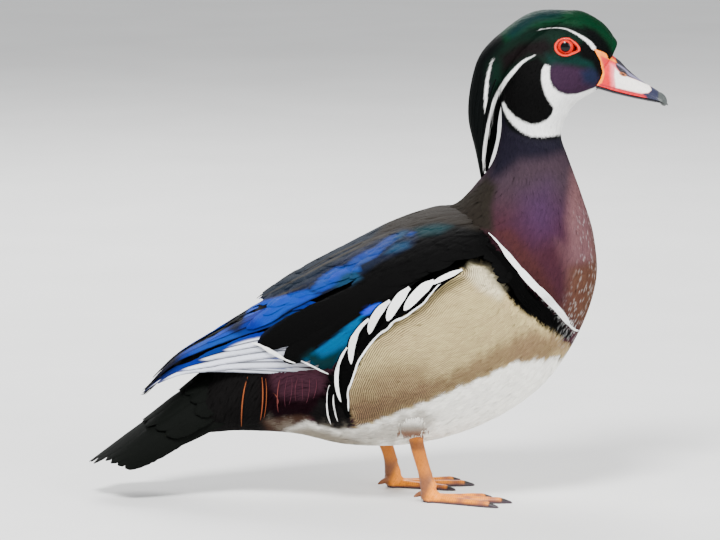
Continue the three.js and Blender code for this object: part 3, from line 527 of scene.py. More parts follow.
LOWER_FLANK = [
    (350, 400), (385, 398), (420, 386), (455, 372), (490, 350), (530, 330), (562, 338), (575, 346),
    (545, 360), (509, 364), (478, 380), (440, 397), (394, 415), (356, 428),
]
REAR_FLANK = [
    (340, 400), (356, 380), (392, 366), (424, 366), (432, 384), (404, 404), (356, 434),
]
REAR_BELLY = [
    (270, 422), (345, 430), (380, 426), (416, 410), (440, 416), (420, 436), (360, 450), (310, 442),
]


def body_paint(places, c):
    mark = Paint(places, c.breast, 0.25)
    mark.lay(1 - smoothstep(places[..., 1], 176, 236), c.neck, 0.35)
    mark.lay_rows(BREAST_MARKS, c)
    rough = uneven(places, 1.5)
    mark.lay(area(rough, BELLY_EDGE + UNDER_BELLY, 5), c.belly, 0)
    mark.lay_rows(REAR_MARKS, c)
    mark.lay(area(rough, FLANK_AREA, 2.5), c.buff, 0)
    flank = area(places, FLANK_AREA, 2.5)
    mark.lay(0.75 * area(uneven(places, 2.5), LOWER_FLANK, 13) * flank, c.flank_brown, 0)
    mark.lay(0.6 * area(places, REAR_FLANK, 26) * flank, c.flank_brown, 0)
    mark.lay(0.7 * area(uneven(places, 3), REAR_BELLY, 14) * (1 - flank), c.belly_grey, 0)
    mark.lay_rows(SHOULDER_MARKS, c)
    return mark


WAVE_STEP = 2.1


def flank_waves(places):
    """The running count of fine dark waves across the flank, and how dark they are."""
    line = curve(FLANK_EDGE)
    near = np.full(places.shape[:-1], 1e9)
    for a, b in zip(line[:-1], line[1:]):
        near = np.minimum(near, from_step(places, a, b)[0])
    depth = area(places, FLANK_AREA, 2)
    low = smoothstep(places[..., 1] - 0.35 * (places[..., 0] - 350), 300, 380)
    count = near / WAVE_STEP * (1 + near / 320)
    return count, depth * blend(0.4, 1, np.maximum(low, 1 - smoothstep(near, 6, 26)))


# The wing's marks
BLUE_PATCHES = [
    [(246.7, 338), (253.7, 341), (264, 330.5), (285, 311.5), (301, 303.5), (318, 295), (308, 289),
     (285.6, 295), (264, 300.5), (250.6, 306), (244, 318.4)],
    [(311, 289), (322, 276), (335, 267.5), (350, 265), (360, 267), (357, 276), (345, 281), (330, 288),
     (318, 293)],
    [(346, 265), (355, 257), (368, 250), (379, 246), (384, 249), (378, 256), (366, 262), (354, 267)],
    [(376, 246), (386, 238), (394, 234.5), (401, 233), (397, 240), (388, 246), (380, 250)],
]
BLUE_BED = [
    (402, 229), (380, 236), (352, 252), (330, 266), (306, 282), (280, 293), (255, 301), (244, 314),
    (246, 338), (254, 342), (290, 312), (325, 294), (352, 281), (380, 262), (412, 247), (420, 234),
]
SPECULUM = [
    (362, 315), (352, 322), (339, 333), (322, 345), (303, 360), (311, 366), (328, 373), (338, 360),
    (348, 344), (362, 326),
]
VIOLET_SPOT = [(361, 312), (370, 306), (381, 302), (376, 311), (366, 316)]
TERTIAL_TIP = [(253, 343), (261, 345.5), (273, 352.5), (285, 359.5), (295, 363)]
SECONDARY_TIPS = [(301, 361), (309, 365), (318, 369), (329, 373.5)]
RIDGE_STREAKS = [
    [(250, 309), (264, 302), (290, 291), (312, 283)],
    [(262, 297), (300, 277), (340, 256), (372, 243)],
    [(300, 274), (340, 252), (380, 236), (402, 230)],
    [(330, 262), (360, 246), (392, 233)],
]
WING_BED = [
    ("slate", 1, 0.4, 6, [
        (235, 318), (255, 296), (300, 268), (350, 236), (400, 212), (412, 206), (412, 232), (345, 262),
        (300, 292), (262, 305),
    ]),
    ("back_bronze", 1, 0.15, 8, [
        (372, 238), (400, 205), (470, 190), (500, 225), (478, 230), (456, 225), (426, 224), (404, 231),
        (385, 236),
    ]),
    ("navy", 1, 0.5, 6, BLUE_BED),
    # Painted bluish-green sheen on the back
    ("teal_dark", 1, 0.4, 8, [(415, 229), (438, 224), (452, 226), (440, 233), (420, 236)]),
    *[("ridge_edge", 1, 0.1, 1.2, streak, [0.3, 0.9, 0.3]) for streak in RIDGE_STREAKS],
]
WING_MARKS = [
    ("blue_deep", 1, 0.6, 8, [(244, 322), (252, 318), (262, 328), (254, 342), (244, 338)]),
    ("teal_grey", 1, 0.5, 5, [(333, 286), (344, 273), (357, 271), (361, 279), (350, 285), (338, 289)]),
    ("teal_grey", 1, 0.5, 5, [(384, 254), (395, 244), (408, 241), (410, 247), (396, 252)]),
    ("teal_grey", 1, 0.5, 5, [(394, 238), (401, 231), (408, 231), (400, 239)]),
    ("blue_dim", 1, 0.5, 3, [(406, 236), (410, 232), (416, 232), (412, 236)]),
    ("teal", 1, 0.7, 1.6, SPECULUM),
    ("teal_dark", 1, 0.5, 9, [
        (303, 358), (312, 350), (322, 357), (334, 352), (344, 346), (338, 362), (330, 377), (314, 369),
    ]),
    ("violet", 1, 0.6, 2, VIOLET_SPOT),
]


def wing_paint(places, c):
    mark = Paint(places, c.black, 0.2)
    mark.lay_rows(WING_BED, c)
    for patch, bright in zip(BLUE_PATCHES, (1, 0.7, 0.25, 0)):
        mark.lay(area(places, patch, 2.5), blend(np.array(c.blue_dim), np.array(c.blue), bright), 0.7)
    mark.lay_rows(WING_MARKS, c)
    return mark


SKYLINE = [(139, 392), (147.6, 380), (166, 360), (189, 343), (206, 332), (227, 320.5), (249, 303.5)]


FLIGHT_TIPS = [
    ("indigo", 1, 0.5, 14, [(130, 400), (150, 370), (176, 350), (182, 362), (160, 382), (146, 392)]),
]


def primary_paint(batch, c):
    """The flight feathers: silver on the lower web, blue towards the tips and the wing's top."""
    places, web = batch["places"], batch["web"]
    column = places[..., 0]
    mark = Paint(places, c.blue_deep, 0.7)
    mark.lay_rows(FLIGHT_TIPS, c)
    grey = smoothstep(column, 262, 318)
    silver = blend(np.array(c.silver[:]), np.array(c.silver_grey[:]), grey[..., None])
    lower = 1 - smoothstep(web, -0.04, 0)
    reach = smoothstep(column, 280, 300)
    under = (1 - smoothstep(web, 0.25 + reach, 0.45 + reach)) * smoothstep(column, 225, 245)
    bright = np.maximum(lower * (1 - smoothstep(batch["along"], 0.9, 0.99)), under)
    mark.colour = blend(mark.colour, silver, bright[..., None])
    mark.gloss = blend(mark.gloss, 0.1, bright)
    mark.lay(np.exp(-((web / 0.07) ** 2)), c.shaft, 0.3)
    # The dark lower margin of each web is partly the feather's own dark edge and partly painted shade between
    # the feathers
    lowest = 1 - smoothstep(batch["number"], 0, 1)
    mark.lay(0.9 * (1 - lowest) * (1 - smoothstep(web, -0.92, -0.72)), c.shaft, 0.2)
    mark.lay(0.9 * lowest * (1 - smoothstep(web, -0.95, -0.6)), c.shaft, 0.2)
    return mark


BLADE_MARKS = [
    ("blue", 1, 0.7, 10, [
        (186, 350), (205, 336), (222, 328), (240, 334), (238, 345), (210, 352), (192, 358),
    ]),
    ("indigo", 1, 0.5, 14, [(130, 400), (150, 370), (176, 350), (182, 362), (160, 382), (146, 392)]),
    ("navy", 1, 0.5, 8, [(226, 330), (240, 312), (256, 298), (270, 300), (246, 318), (238, 334)]),
    ("black", 1, 0.3, 2.5, SKYLINE, [3.2, 3.2]),
]


def blade_paint(batch, c):
    """The upper flight feathers: blue with dark edges that are partly painted shade, black along the skyline.
    """
    web = batch["web"]
    mark = Paint(batch["places"], c.blue_deep, 0.7)
    mark.lay_rows(BLADE_MARKS, c)
    mark.lay(0.7 * np.exp(-((web / 0.08) ** 2)), c.shaft, 0.3)
    # Dark lower edge: partly the feather's own edge, partly painted shade between the feathers
    mark.lay(0.8 * (1 - smoothstep(web, -0.97, -0.85)), c.shaft, 0.2)
    return mark


# Meshes
def grid_shape(columns, rows, closed=False):
    """A feather's plain sheet: across from -1 to 1, along from 0 to 1, and its depth 0 or 1."""
    bm = bmesh.new()
    bmesh.ops.create_grid(bm, x_segments=columns, y_segments=rows, size=1)
    if closed:
        made = bmesh.ops.extrude_face_region(bm, geom=bm.faces[:])
        raised = [v for v in made["geom"] if isinstance(v, bmesh.types.BMVert)]
        bmesh.ops.translate(bm, verts=raised, vec=(0, 0, 1))
        bmesh.ops.recalc_face_normals(bm, faces=bm.faces[:])
    bm.verts.ensure_lookup_table()
    points = np.array([v.co for v in bm.verts])
    faces = np.array([[v.index for v in f.verts] for f in bm.faces])
    bm.free()
    return {"web": points[:, 0], "along": (points[:, 1] + 1) / 2, "deep": points[:, 2], "faces": faces}


def vane_share(along, blunt):
    root = blend(0.4, 1, smoothstep(along, 0, 0.35))
    end = np.clip((along - (1 - blunt)) / blunt, 0, 1)
    return root * np.sqrt(np.clip(1 - end**2.2, 0.015, 1))


def laid(surface, shape, side, spine, half, lift, blunt=0.3, thick=0, camber=0, roll=0, ragged=0,
         shaft=0, draw=None):
    """Feathers laid on a surface. A spine is the root, middle and tip of each as (station, angle).

    Side, half widths and lift at root and tip are given for each feather. The result holds
    points, places on the plate and what the paint and the materials read, all by feather and point.
    """
    web, along, deep = shape["web"], shape["along"], shape["deep"]
    count = len(spine)
    side = np.broadcast_to(side, count)[:, None] * np.ones((1, len(web)))
    weights = np.stack(((1 - along) * (1 - 2 * along), 4 * along * (1 - along), along * (2 * along - 1)))
    change = np.stack((4 * along - 3, 4 - 8 * along, 4 * along - 1))
    at = np.einsum("nkc,kv->nvc", spine, weights)
    step = np.einsum("nkc,kv->nvc", spine, change)
    round_along, round_degree, normal = surface.slopes(at[..., 0], at[..., 1], side)
    ahead = unit(round_along * step[..., :1] + round_degree * step[..., 1:])
    across = np.cross(ahead, normal)
    ss, dd = dot(round_along, round_along), dot(round_degree, round_degree)
    sd = dot(round_along, round_degree)
    rs, rd = dot(across, round_along), dot(across, round_degree)
    fall = ss * dd - sd * sd
    wide = np.where(web * -side < 0, half[:, :1], half[:, 1:])
    offset = web * wide * vane_share(along, np.broadcast_to(blunt, count)[:, None])
    step_back = np.zeros((count, len(web)))
    if ragged:
        notch = draw.random((count, len(web)))
        step_back = ragged * notch * smoothstep(along, 0.75, 1) * half[:, :1]
        offset = offset * (1 - 0.12 * notch * (np.abs(web) > 0.6))
    s = at[..., 0] + offset * (rs * dd - rd * sd) / fall
    degrees = at[..., 1] + offset * (rd * ss - rs * sd) / fall
    if lift.shape[1] == 3:
        rise = lift @ weights
    else:
        rise = blend(lift[:, :1], lift[:, 1:], smoothstep(along, 0, 0.7))
    rise = rise - camber * web**2 * half[:, :1] + np.broadcast_to(roll, count)[:, None] * web * -side
    rise = rise + (deep - 1) * thick + shaft * np.exp(-((web / 0.07) ** 2)) * (deep > 0.5) * (1 - along)
    points = surface.at(s, degrees, side, rise) - ahead * step_back[..., None]
    first, last = (surface.at(spine[:, k, 0], spine[:, k, 1], side[:, 0], 0) for k in (0, 2))
    length = np.linalg.norm(first - last, axis=-1)
    root = surface.unwrapped(spine[:, 0, 0], spine[:, 0, 1], side[:, 0])
    return {
        "points": points,
        "places": plate_of(points),
        "web": np.broadcast_to(web * -side, offset.shape),
        "along": np.broadcast_to(along, offset.shape),
        "patch": root[:, None, :] + PATCH_REACH * np.stack((web, 2 * along - 1), -1),
        "barb": np.stack((offset, along * length[:, None]), -1),
        "faces": shape["faces"],
        "stations": np.stack((s, degrees), -1),
    }


# Half of a feather's patch on the bake map
PATCH_REACH = 0.0015


def add_attribute(mesh, name, kind, values):
    made = mesh.attributes.new(name, kind, "POINT")
    field = "color" if kind == "FLOAT_COLOR" else "value"
    made.data.foreach_set(field, np.ascontiguousarray(values, np.float32).ravel())


def add_marking(mesh, colour):
    add_attribute(mesh, "Marking", "FLOAT_COLOR", np.hstack((colour, np.ones((len(colour), 1)))))


def add_waves(mesh, places):
    wave, depth = flank_waves(places)
    add_attribute(mesh, "Wave", "FLOAT", wave)
    add_attribute(mesh, "WaveDepth", "FLOAT", depth)


def smoothed(mesh):
    mesh.polygons.foreach_set("use_smooth", np.ones(len(mesh.polygons), bool))
    return mesh


def mesh_of(name, bm):
    mesh = bpy.data.meshes.new(name)
    bm.to_mesh(mesh)
    bm.free()
    return mesh


def spots(bm):
    return np.array([v.co for v in bm.verts])


def put(bm, points):
    """Moves a bmesh to its place on the frame, closes its seams and turns its faces out."""
    for v, place in zip(bm.verts, settled(points)):
        v.co = place
    bmesh.ops.remove_doubles(bm, verts=bm.verts[:], dist=1e-6)
    bm.normal_update()
    bmesh.ops.recalc_face_normals(bm, faces=bm.faces[:])


def finish_piece(piece, material, replaced=()):
    """Gives a piece its finish and its place on the frame."""
    piece.data.materials.clear()
    piece.data.materials.append(material)
    if replaced:
        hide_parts(*replaced)
    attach(piece, "root")
    return piece


def new_object(name, mesh):
    piece = bpy.data.objects.new(name, mesh)
    bpy.context.scene.collection.objects.link(piece)
    return piece


def feather_piece(name, batches, painter, draw, waves=False, sharp=False):
    """Joins batches of laid feathers into one painted mesh."""
    faces, marks, tint = [], [], []
    start = 0
    for batch in batches:
        count, size = batch["points"].shape[:2]
        offsets = start + size * np.arange(count)[:, None, None]
        faces.append((batch["faces"][None] + offsets).reshape(-1, batch["faces"].shape[1]))
        marks.append(painter(batch))
        tint.append(np.repeat(draw.random(count), size))
        start += count * size

    def joined(key):
        return np.vstack([batch[key].reshape(-1, batch[key].shape[-1]) for batch in batches])

    faces = np.vstack(faces)
    mesh = bpy.data.meshes.new(name)
    mesh.from_pydata(settled(joined("points")), [], faces)
    smoothed(mesh)
    for layer, key in (("OFBake", "patch"), ("Barb", "barb")):
        uv = mesh.uv_layers.new(name=layer)
        uv.data.foreach_set("uv", joined(key)[faces.ravel()].astype(np.float32).ravel())
    add_marking(mesh, np.vstack([mark.colour.reshape(-1, 3) for mark in marks]))
    add_attribute(mesh, "Gloss", "FLOAT", np.concatenate([mark.gloss.ravel() for mark in marks]))
    add_attribute(mesh, "Tint", "FLOAT", np.concatenate(tint))
    if waves:
        add_waves(mesh, joined("places"))
    mesh.update()
    if sharp:
        mesh.set_sharp_from_angle(angle=math.radians(50))
    return new_object(name, mesh)


def scattered(surface, stations, angles, spacing, draw, keep=None):
    """Places spread evenly over a stretch of both sides of a surface: stations, angles and sides."""
    s_lines = np.linspace(*stations, 240)
    d_lines = np.linspace(*angles, 160)
    s, degrees = (grid.ravel() for grid in np.meshgrid(s_lines, d_lines))
    along, round_, _ = surface.slopes(s, degrees, RIGHT)
    patch = np.linalg.norm(np.cross(along, round_), axis=-1)
    cell = (s_lines[1] - s_lines[0]) * (d_lines[1] - d_lines[0])
    if keep is not None:
        patch = patch * keep(s, degrees)
    count = int(4.5 * patch.sum() * cell / spacing**2)
    chosen = draw.choice(len(s), count, p=patch / patch.sum())
    s = s[chosen] + (draw.random(count) - 0.5) * (s_lines[1] - s_lines[0])
    degrees = degrees[chosen] + (draw.random(count) - 0.5) * (d_lines[1] - d_lines[0])
    points = surface.at(s, degrees, RIGHT, 0)
    tree = KDTree(count)
    for i, place in enumerate(points):
        tree.insert(place, i)
    tree.balance()
    open_ = np.ones(count, bool)
    for i in range(count):
        if open_[i]:
            for _, j, _ in tree.find_range(points[i], 0.8 * spacing):
                if j > i:
                    open_[j] = False
    return s[open_], degrees[open_]


def small_feathers(surface, places, shape, length, half, sweep, lift, draw, onward=-1, **more):
    """Small feathers at scattered places on both sides. Onward says which way along the stations they lie."""
    batches = []
    for side in BOTH:
        s, degrees = places
        along, round_, _ = surface.slopes(s, degrees, side)
        reach = length(s, degrees) * (0.85 + 0.3 * draw.random(len(s)))
        turn = np.radians(sweep(s, degrees) + 14 * (draw.random(len(s)) - 0.5))
        tip_s = np.minimum(s + onward * reach * np.cos(turn) / np.linalg.norm(along, axis=-1), surface.last)
        tip_d = degrees + reach * np.sin(turn) / np.linalg.norm(round_, axis=-1)
        root, tip = np.stack((s, degrees), -1), np.stack((tip_s, tip_d), -1)
        spine = np.stack((root, (root + tip) / 2, tip), 1)
        wide = half(s, degrees) * (0.85 + 0.3 * draw.random(len(s)))
        raised = np.stack((np.full(len(s), lift[0]), lift[1] * (0.6 + 0.8 * draw.random(len(s)))), -1)
        roll = 0.12 * wide * (draw.random(len(s)) - 0.5)
        batches.append(laid(surface, shape, side, spine, np.stack((wide, wide), -1), raised,
                            roll=roll, draw=draw, **more))
    return batches


# Materials
def shader_of(material):
    return material.node_tree.nodes["Principled BSDF"]


def new_material(name, roughness, **fixed):
    material = bpy.data.materials.new(name)
    material.use_nodes = True
    sockets = shader_of(material).inputs
    sockets["Roughness"].default_value = roughness
    for key, value in fixed.items():
        sockets[key.replace("_", " ")].default_value = value
    return material


class Wires:
    """Adds nodes to a tree and wires them up."""

    def __init__(self, tree):
        self.tree = tree

    def add(self, kind, *values, **settings):
        made = self.tree.nodes.new(kind)
        for key, value in settings.items():
            setattr(made, key, value)
        for i, value in enumerate(values):
            self.feed(value, made.inputs[i])
        return made

    def feed(self, value, target):
        if isinstance(value, bpy.types.NodeSocket):
            self.tree.links.new(value, target)
        elif value is not None:
            target.default_value = value

    def math(self, operation, *values):
        return self.add("ShaderNodeMath", *values, operation=operation).outputs[0]

    def attribute(self, name, output="Fac"):
        return self.add("ShaderNodeAttribute", attribute_name=name).outputs[output]

    def noise(self, vector, scale, detail=2):
        made = self.add("ShaderNodeTexNoise")
        self.feed(vector, made.inputs["Vector"])
        made.inputs["Scale"].default_value = scale
        made.inputs["Detail"].default_value = detail
        return made.outputs["Fac"]

    def ramp(self, value, low, high, to_low=0, to_high=1):
        made = self.add("ShaderNodeMapRange", value, low, high, to_low, to_high)
        return made.outputs[0]

    def mixed(self, share, a, b, how="MIX"):
        made = self.add("ShaderNodeMix", data_type="RGBA", blend_type=how)
        self.feed(share, made.inputs["Factor"])
        self.feed(a, made.inputs[6])
        self.feed(b, made.inputs[7])
        return made.outputs[2]

    def bump(self, height, strength, distance, shader):
        """Feeds a height into a shader's normal."""
        made = self.add("ShaderNodeBump")
        made.inputs["Strength"].default_value = strength
        made.inputs["Distance"].default_value = distance
        self.feed(height, made.inputs["Height"])
        self.feed(made.outputs[0], shader.inputs["Normal"])

    def shaded(self, hue, value):
        """The mesh's own colour with a little change of hue and value."""
        marking = self.attribute("Marking", "Color")
        return self.add("ShaderNodeHueSaturation", hue, 1.0, value, 1.0, marking).outputs[0]


def new_group(name, inputs, outputs):
    tree = bpy.data.node_groups.new(name, "ShaderNodeTree")
    for label, kind, default in inputs:
        made = tree.interface.new_socket(label, in_out="INPUT", socket_type=kind)
        if default is not None:
            made.default_value = default
    for label, kind in outputs:
        tree.interface.new_socket(label, in_out="OUTPUT", socket_type=kind)
    wires = Wires(tree)
    return wires, tree.nodes.new("NodeGroupInput").outputs, tree.nodes.new("NodeGroupOutput").inputs


def barb_group():
    """Fine slanting barbs on both webs of a feather, read from its Barb map in millimetres."""
    name = "Feather barbs"
    if name in bpy.data.node_groups:
        return bpy.data.node_groups[name]
    wires, given, out = new_group(
        name,
        [("Barb map", "NodeSocketVector", None), ("Spacing", "NodeSocketFloat", 0.9)],
        [("Height", "NodeSocketFloat"), ("Shade", "NodeSocketFloat")],
    )
    parts = wires.add("ShaderNodeSeparateXYZ", given["Barb map"]).outputs
    away = wires.math("ABSOLUTE", parts[0])
    slant = wires.math("SUBTRACT", parts[1], wires.math("MULTIPLY", away, 1.3))
    wobble = wires.noise(given["Barb map"], 0.7)
    slant = wires.math("ADD", slant, wires.math("MULTIPLY", wobble, 1.2))
    turns = wires.math("MULTIPLY", wires.math("DIVIDE", slant, given["Spacing"]), 2 * math.pi)
    wires.feed(wires.math("SINE", turns), out["Height"])
    across, along = wires.math("MULTIPLY", parts[0], 2.2), wires.math("MULTIPLY", slant, 0.5)
    streak = wires.add("ShaderNodeCombineXYZ", across, along)
    wires.feed(wires.noise(streak.outputs[0], 1.4, 3), out["Shade"])
    return bpy.data.node_groups[name]


def plumage(name, spacing, bump, roughness, specular, shine):
    """Feather material: its colour and gloss come with the mesh, its barbs and small changes from nodes."""
    material = new_material(name, roughness, Specular_IOR_Level=specular)
    wires = Wires(material.node_tree)
    shader = shader_of(material)
    barbs = wires.add("ShaderNodeGroup", node_tree=barb_group())
    wires.feed(wires.add("ShaderNodeUVMap", uv_map="Barb").outputs[0], barbs.inputs["Barb map"])
    barbs.inputs["Spacing"].default_value = spacing
    place = wires.add("ShaderNodeTexCoord").outputs["Object"]
    drift = wires.noise(place, 60, 3)
    tint = wires.attribute("Tint")
    drift = wires.math("ADD", drift, wires.math("MULTIPLY", tint, 0.3))
    hue = wires.math("ADD", 0.485, wires.math("MULTIPLY", drift, 0.025))
    shade = wires.ramp(barbs.outputs["Shade"], 0.3, 0.7, 0.86, 1.1)
    value = wires.math("MULTIPLY", shade, wires.ramp(tint, 0, 1, 0.9, 1.1))
    wires.feed(waved(wires, wires.shaded(hue, value), place), shader.inputs["Base Color"])
    gloss = wires.attribute("Gloss")
    wires.feed(wires.math("MULTIPLY", gloss, shine), shader.inputs["Metallic"])
    rough = wires.math("SUBTRACT", roughness, wires.math("MULTIPLY", gloss, 0.22))
    grain = wires.ramp(barbs.outputs["Shade"], 0, 1, -0.06, 0.06)
    wires.feed(wires.math("ADD", rough, grain), shader.inputs["Roughness"])
    wires.bump(barbs.outputs["Height"], bump, 0.0002, shader)
    return material


def waved(wires, colour, place):
    """Fine dark waves where the mesh asks for them."""
    wobble = wires.math("SUBTRACT", wires.noise(place, 260, 2), 0.5)
    coarse = wires.math("SUBTRACT", wires.noise(place, 70, 2), 0.5)
    turns = wires.math("ADD", wires.attribute("Wave"), wires.math("MULTIPLY", wobble, 1.1))
    turns = wires.math("ADD", turns, wires.math("MULTIPLY", coarse, 2.4))
    wave = wires.math("SINE", wires.math("MULTIPLY", turns, 2 * math.pi))
    dark = wires.math("MULTIPLY", wires.ramp(wave, -0.1, 0.5), wires.attribute("WaveDepth"))
    return wires.mixed(wires.math("MULTIPLY", dark, 0.85), colour, (0.035, 0.028, 0.022, 1))


def painted(name, roughness, bump, scale, **fixed):
    """Skin or horn whose colour comes with the mesh."""
    material = new_material(name, roughness, **fixed)
    wires = Wires(material.node_tree)
    shader = shader_of(material)
    place = wires.add("ShaderNodeTexCoord").outputs["Object"]
    grain = wires.noise(place, scale, 4)
    colour = wires.shaded(0.5, wires.ramp(grain, 0.3, 0.7, 0.9, 1.08))
    wires.feed(waved(wires, colour, place), shader.inputs["Base Color"])
    wires.feed(wires.ramp(grain, 0.3, 0.7, roughness - 0.06, roughness + 0.08), shader.inputs["Roughness"])
    if bump:
        wires.bump(grain, bump, 0.0003, shader)
    return material


def material_named(name, make):
    return bpy.data.materials.get(name) or make(name)


def soft_plumage():
    return material_named("Soft body feathers", lambda name: plumage(name, 0.5, 0.2, 0.85, 0.03, 0.06))


def silk_plumage():
    return material_named("Silken head feathers", lambda name: plumage(name, 0.35, 0.15, 0.65, 0.05, 0.1))


def vane_plumage():
    return material_named("Wing and tail vanes", lambda name: plumage(name, 0.7, 0.25, 0.7, 0.04, 0.07))


# Pieces
def colours():
    return bpy.context.scene.duck_colours


def coat_depth(s):
    return np.interp(s, [0, 2, 9, 12, 14, 19, 21], [0.9, 1, 0.9, 0.7, 0.5, 0.4, 0.3])


def body_or_head(batch):
    """Paints head feathers above the collar and body feathers below it, by station."""
    c = colours()
    low = body_paint(batch["places"], c)
    if np.max(batch["stations"][..., 0]) < 11.5:
        return low
    high = head_paint(batch["places"], c)
    share = smoothstep(batch["stations"][..., 0], 12.35, 12.75)
    low.colour = blend(low.colour, high.colour, share[..., None])
    low.gloss = blend(low.gloss, high.gloss, share)
    return low


def socket(points):
    """How deep the skin sinks behind the eye."""
    share = lid_share(points)
    return 4.5 * (1 - smoothstep(share, 0.88, 1.0)) * (np.abs(points[..., 0] - EYE["x"]) < 11)


def seam_mended(mesh, corners):
    """Corners that jump from one edge of the unwrap to the other are put on their own face's side."""
    corners = corners.copy()
    starts = np.empty(len(mesh.polygons), np.int32)
    sizes = np.empty(len(mesh.polygons), np.int32)
    mesh.polygons.foreach_get("loop_start", starts)
    mesh.polygons.foreach_get("loop_total", sizes)
    low = np.minimum.reduceat(corners[:, 0], starts)
    high = np.maximum.reduceat(corners[:, 0], starts)
    jumps = np.repeat(high - low > 0.5, sizes)
    left = np.repeat(np.add.reduceat((corners[:, 0] < 0.5).astype(int), starts) * 2 >= sizes, sizes)
    wrong = jumps & (left == (corners[:, 0] > 0.5))
    corners[wrong, 0] = 1 - corners[wrong, 0]
    return corners


def skin_shape():
    """The skin's mesh, its points in millimetres, and their stations and angles."""
    bm = bmesh.new()
    bmesh.ops.create_grid(bm, x_segments=420, y_segments=200, size=1)
    station_layer = bm.verts.layers.float.new("station")
    angle_layer = bm.verts.layers.float.new("angle")
    flat = spots(bm)
    s = np.clip((flat[:, 0] + 1) / 2, 0, 1) * BODY_END
    degrees = 180 * flat[:, 1]
    depth = coat_depth(s)
    sink = socket(body.at(s, degrees, RIGHT, -depth)) * (s > 14)
    points = body.at(s, degrees, RIGHT, -depth - sink)
    for v, place, station, angle in zip(bm.verts, points, s, degrees):
        v.co = place
        v[station_layer] = station
        v[angle_layer] = angle
    bmesh.ops.remove_doubles(bm, verts=bm.verts[:], dist=0.02)
    rim = [e for e in bm.edges if e.is_boundary]
    bmesh.ops.holes_fill(bm, edges=rim, sides=0)
    bmesh.ops.triangulate(bm, faces=[f for f in bm.faces if len(f.verts) > 4])
    bmesh.ops.recalc_face_normals(bm, faces=bm.faces[:])
    stations = np.array([(v[station_layer], v[angle_layer]) for v in bm.verts])
    plain = spots(bm)
    return mesh_of("skin", bm), plain, stations


class DUCK_OT_skin(bpy.types.Operator):
    """One closed skin under all the body feathers, from the tail's root to the bill"""

    bl_idname = "duck.skin"
    bl_label = "Skin"

    def execute(self, context):
        mesh, plain, stations = skin_shape()
        places = plate_of(plain)
        mark = body_or_head({"places": places, "stations": stations})
        unwrap = body.unwrapped(stations[:, 0], np.abs(stations[:, 1]), -np.sign(stations[:, 1]))
        mesh.vertices.foreach_set("co", settled(plain).astype(np.float32).ravel())
        uv = mesh.uv_layers.new(name="OFBake")
        corner = np.empty(len(mesh.loops), np.int32)
        mesh.loops.foreach_get("vertex_index", corner)
        uv.data.foreach_set("uv", seam_mended(mesh, unwrap[corner]).astype(np.float32).ravel())
        add_marking(mesh, mark.colour)
        add_waves(mesh, places)
        smoothed(mesh).update()
        finish = material_named("Skin and down",
                                lambda name: painted(name, 0.8, 0.3, 900, Specular_IOR_Level=0.04))
        names = ["torso", "rump", "neck", "head", "flank_right", "flank_left"]
        finish_piece(new_object("skin", mesh), finish, names)
        return {"FINISHED"}


# Body feathers by region: slot, stations, angles, spacing, length, half width, lift and blunt end
COAT = {
    "head": ("crown", (12.5, 20.8), (0, 180), 0.85, 3.8, 0.5, (-0.4, 0.08), 0.8),
    "neck": ("neck", (9.4, 12.9), (0, 180), 1.35, 7.5, 0.85, (-0.6, 0.08), 0.7),
    "breast": ("body", (6.6, 9.7), (0, 180), 1.9, 10, 1.5, (-0.8, 0.12), 0.6),
    "belly": ("body", (1.6, 7.2), (118, 180), 2.2, 12, 1.7, (-0.9, 0.25), 0.6),
    "flank": ("flank", (2.4, 7.9), (52, 150), 1.9, 11, 1.5, (-0.8, 0.1), 0.6),
    "rump": ("rump", (0, 2.9), (40, 180), 1.9, 12, 0.8, (-0.8, 0.2), 0.8),
}


# The feathers' edge round the bill, and all that is ahead of it
BILL_AREA = [
    (620, 63), (615.5, 60.3), (609, 54.3), (600.8, 48.4), (595, 46), (593.5, 49), (597, 56.7), (600.6, 64.3),
    (602, 71.9), (601.6, 77.3), (600, 81.6), (598, 86), (597.5, 89.5), (610, 96), (680, 120), (680, 60),
]


def lid_share(points):
    """How far places of the head lie from the eye, as a share of the lids' reach."""
    x = points[..., 0] - EYE["x"]
    z = points[..., 2] - EYE["z"]
    ahead = np.maximum(x, 0)
    return np.hypot(x / np.where(x > 0, 8, 6.3), (z + 0.12 * ahead) / (5.3 - 0.3 * ahead))


def coat_keep(region):
    def bare_face(s, degrees):
        points = body.at(s, degrees, RIGHT, 0)
        ahead = area(plate_of(points), BILL_AREA, 0.4)
        tips = points - (3, 0, 0.8)
        return (ahead < 0.5) & (((lid_share(points) > 1) & (lid_share(tips) > 0.93)) | (s < 14))

    def on_flank(s, degrees):
        return area(plate_of(body.at(s, degrees, RIGHT, 0)), FLANK_COVER, 1) > 0.5

    def off_flank(s, degrees):
        return ~on_flank(s, degrees)

    def front_only(s, degrees):
        return off_flank(s, degrees) | (s > 7.6)

    keeps = {"head": bare_face, "flank": on_flank, "belly": off_flank, "breast": front_only}
    return keeps.get(region)


def lie(s, degrees):
    """How far feathers turn down from the line towards the tail, in degrees."""
    nape = 10 * smoothstep(s, 13.5, 15) * (1 - smoothstep(degrees, 60, 140))
    beside = smoothstep(degrees, 30, 80) * (1 - smoothstep(degrees, 110, 160))
    return nape + 55 * (1 - smoothstep(s, 1.4, 2.6)) * beside


def same(value):
    """The same value at every station and angle."""
    return lambda s, degrees: np.full(len(s), float(value))


def coat_length(region, length):
    """The length of a region's feathers: short on the face, shortest just ahead of the eye."""
    def on_head(s, degrees):
        points = body.at(s, degrees, RIGHT, 0)
        clear = np.where(points[..., 0] > EYE["x"], lid_share(points) - 1, 1)
        face = length * np.interp(s, [14, 17, 20.5], [1, 0.8, 0.5])
        return np.clip(face, 1, 1 + 6 * clear)

    return on_head if region == "head" else same(length)


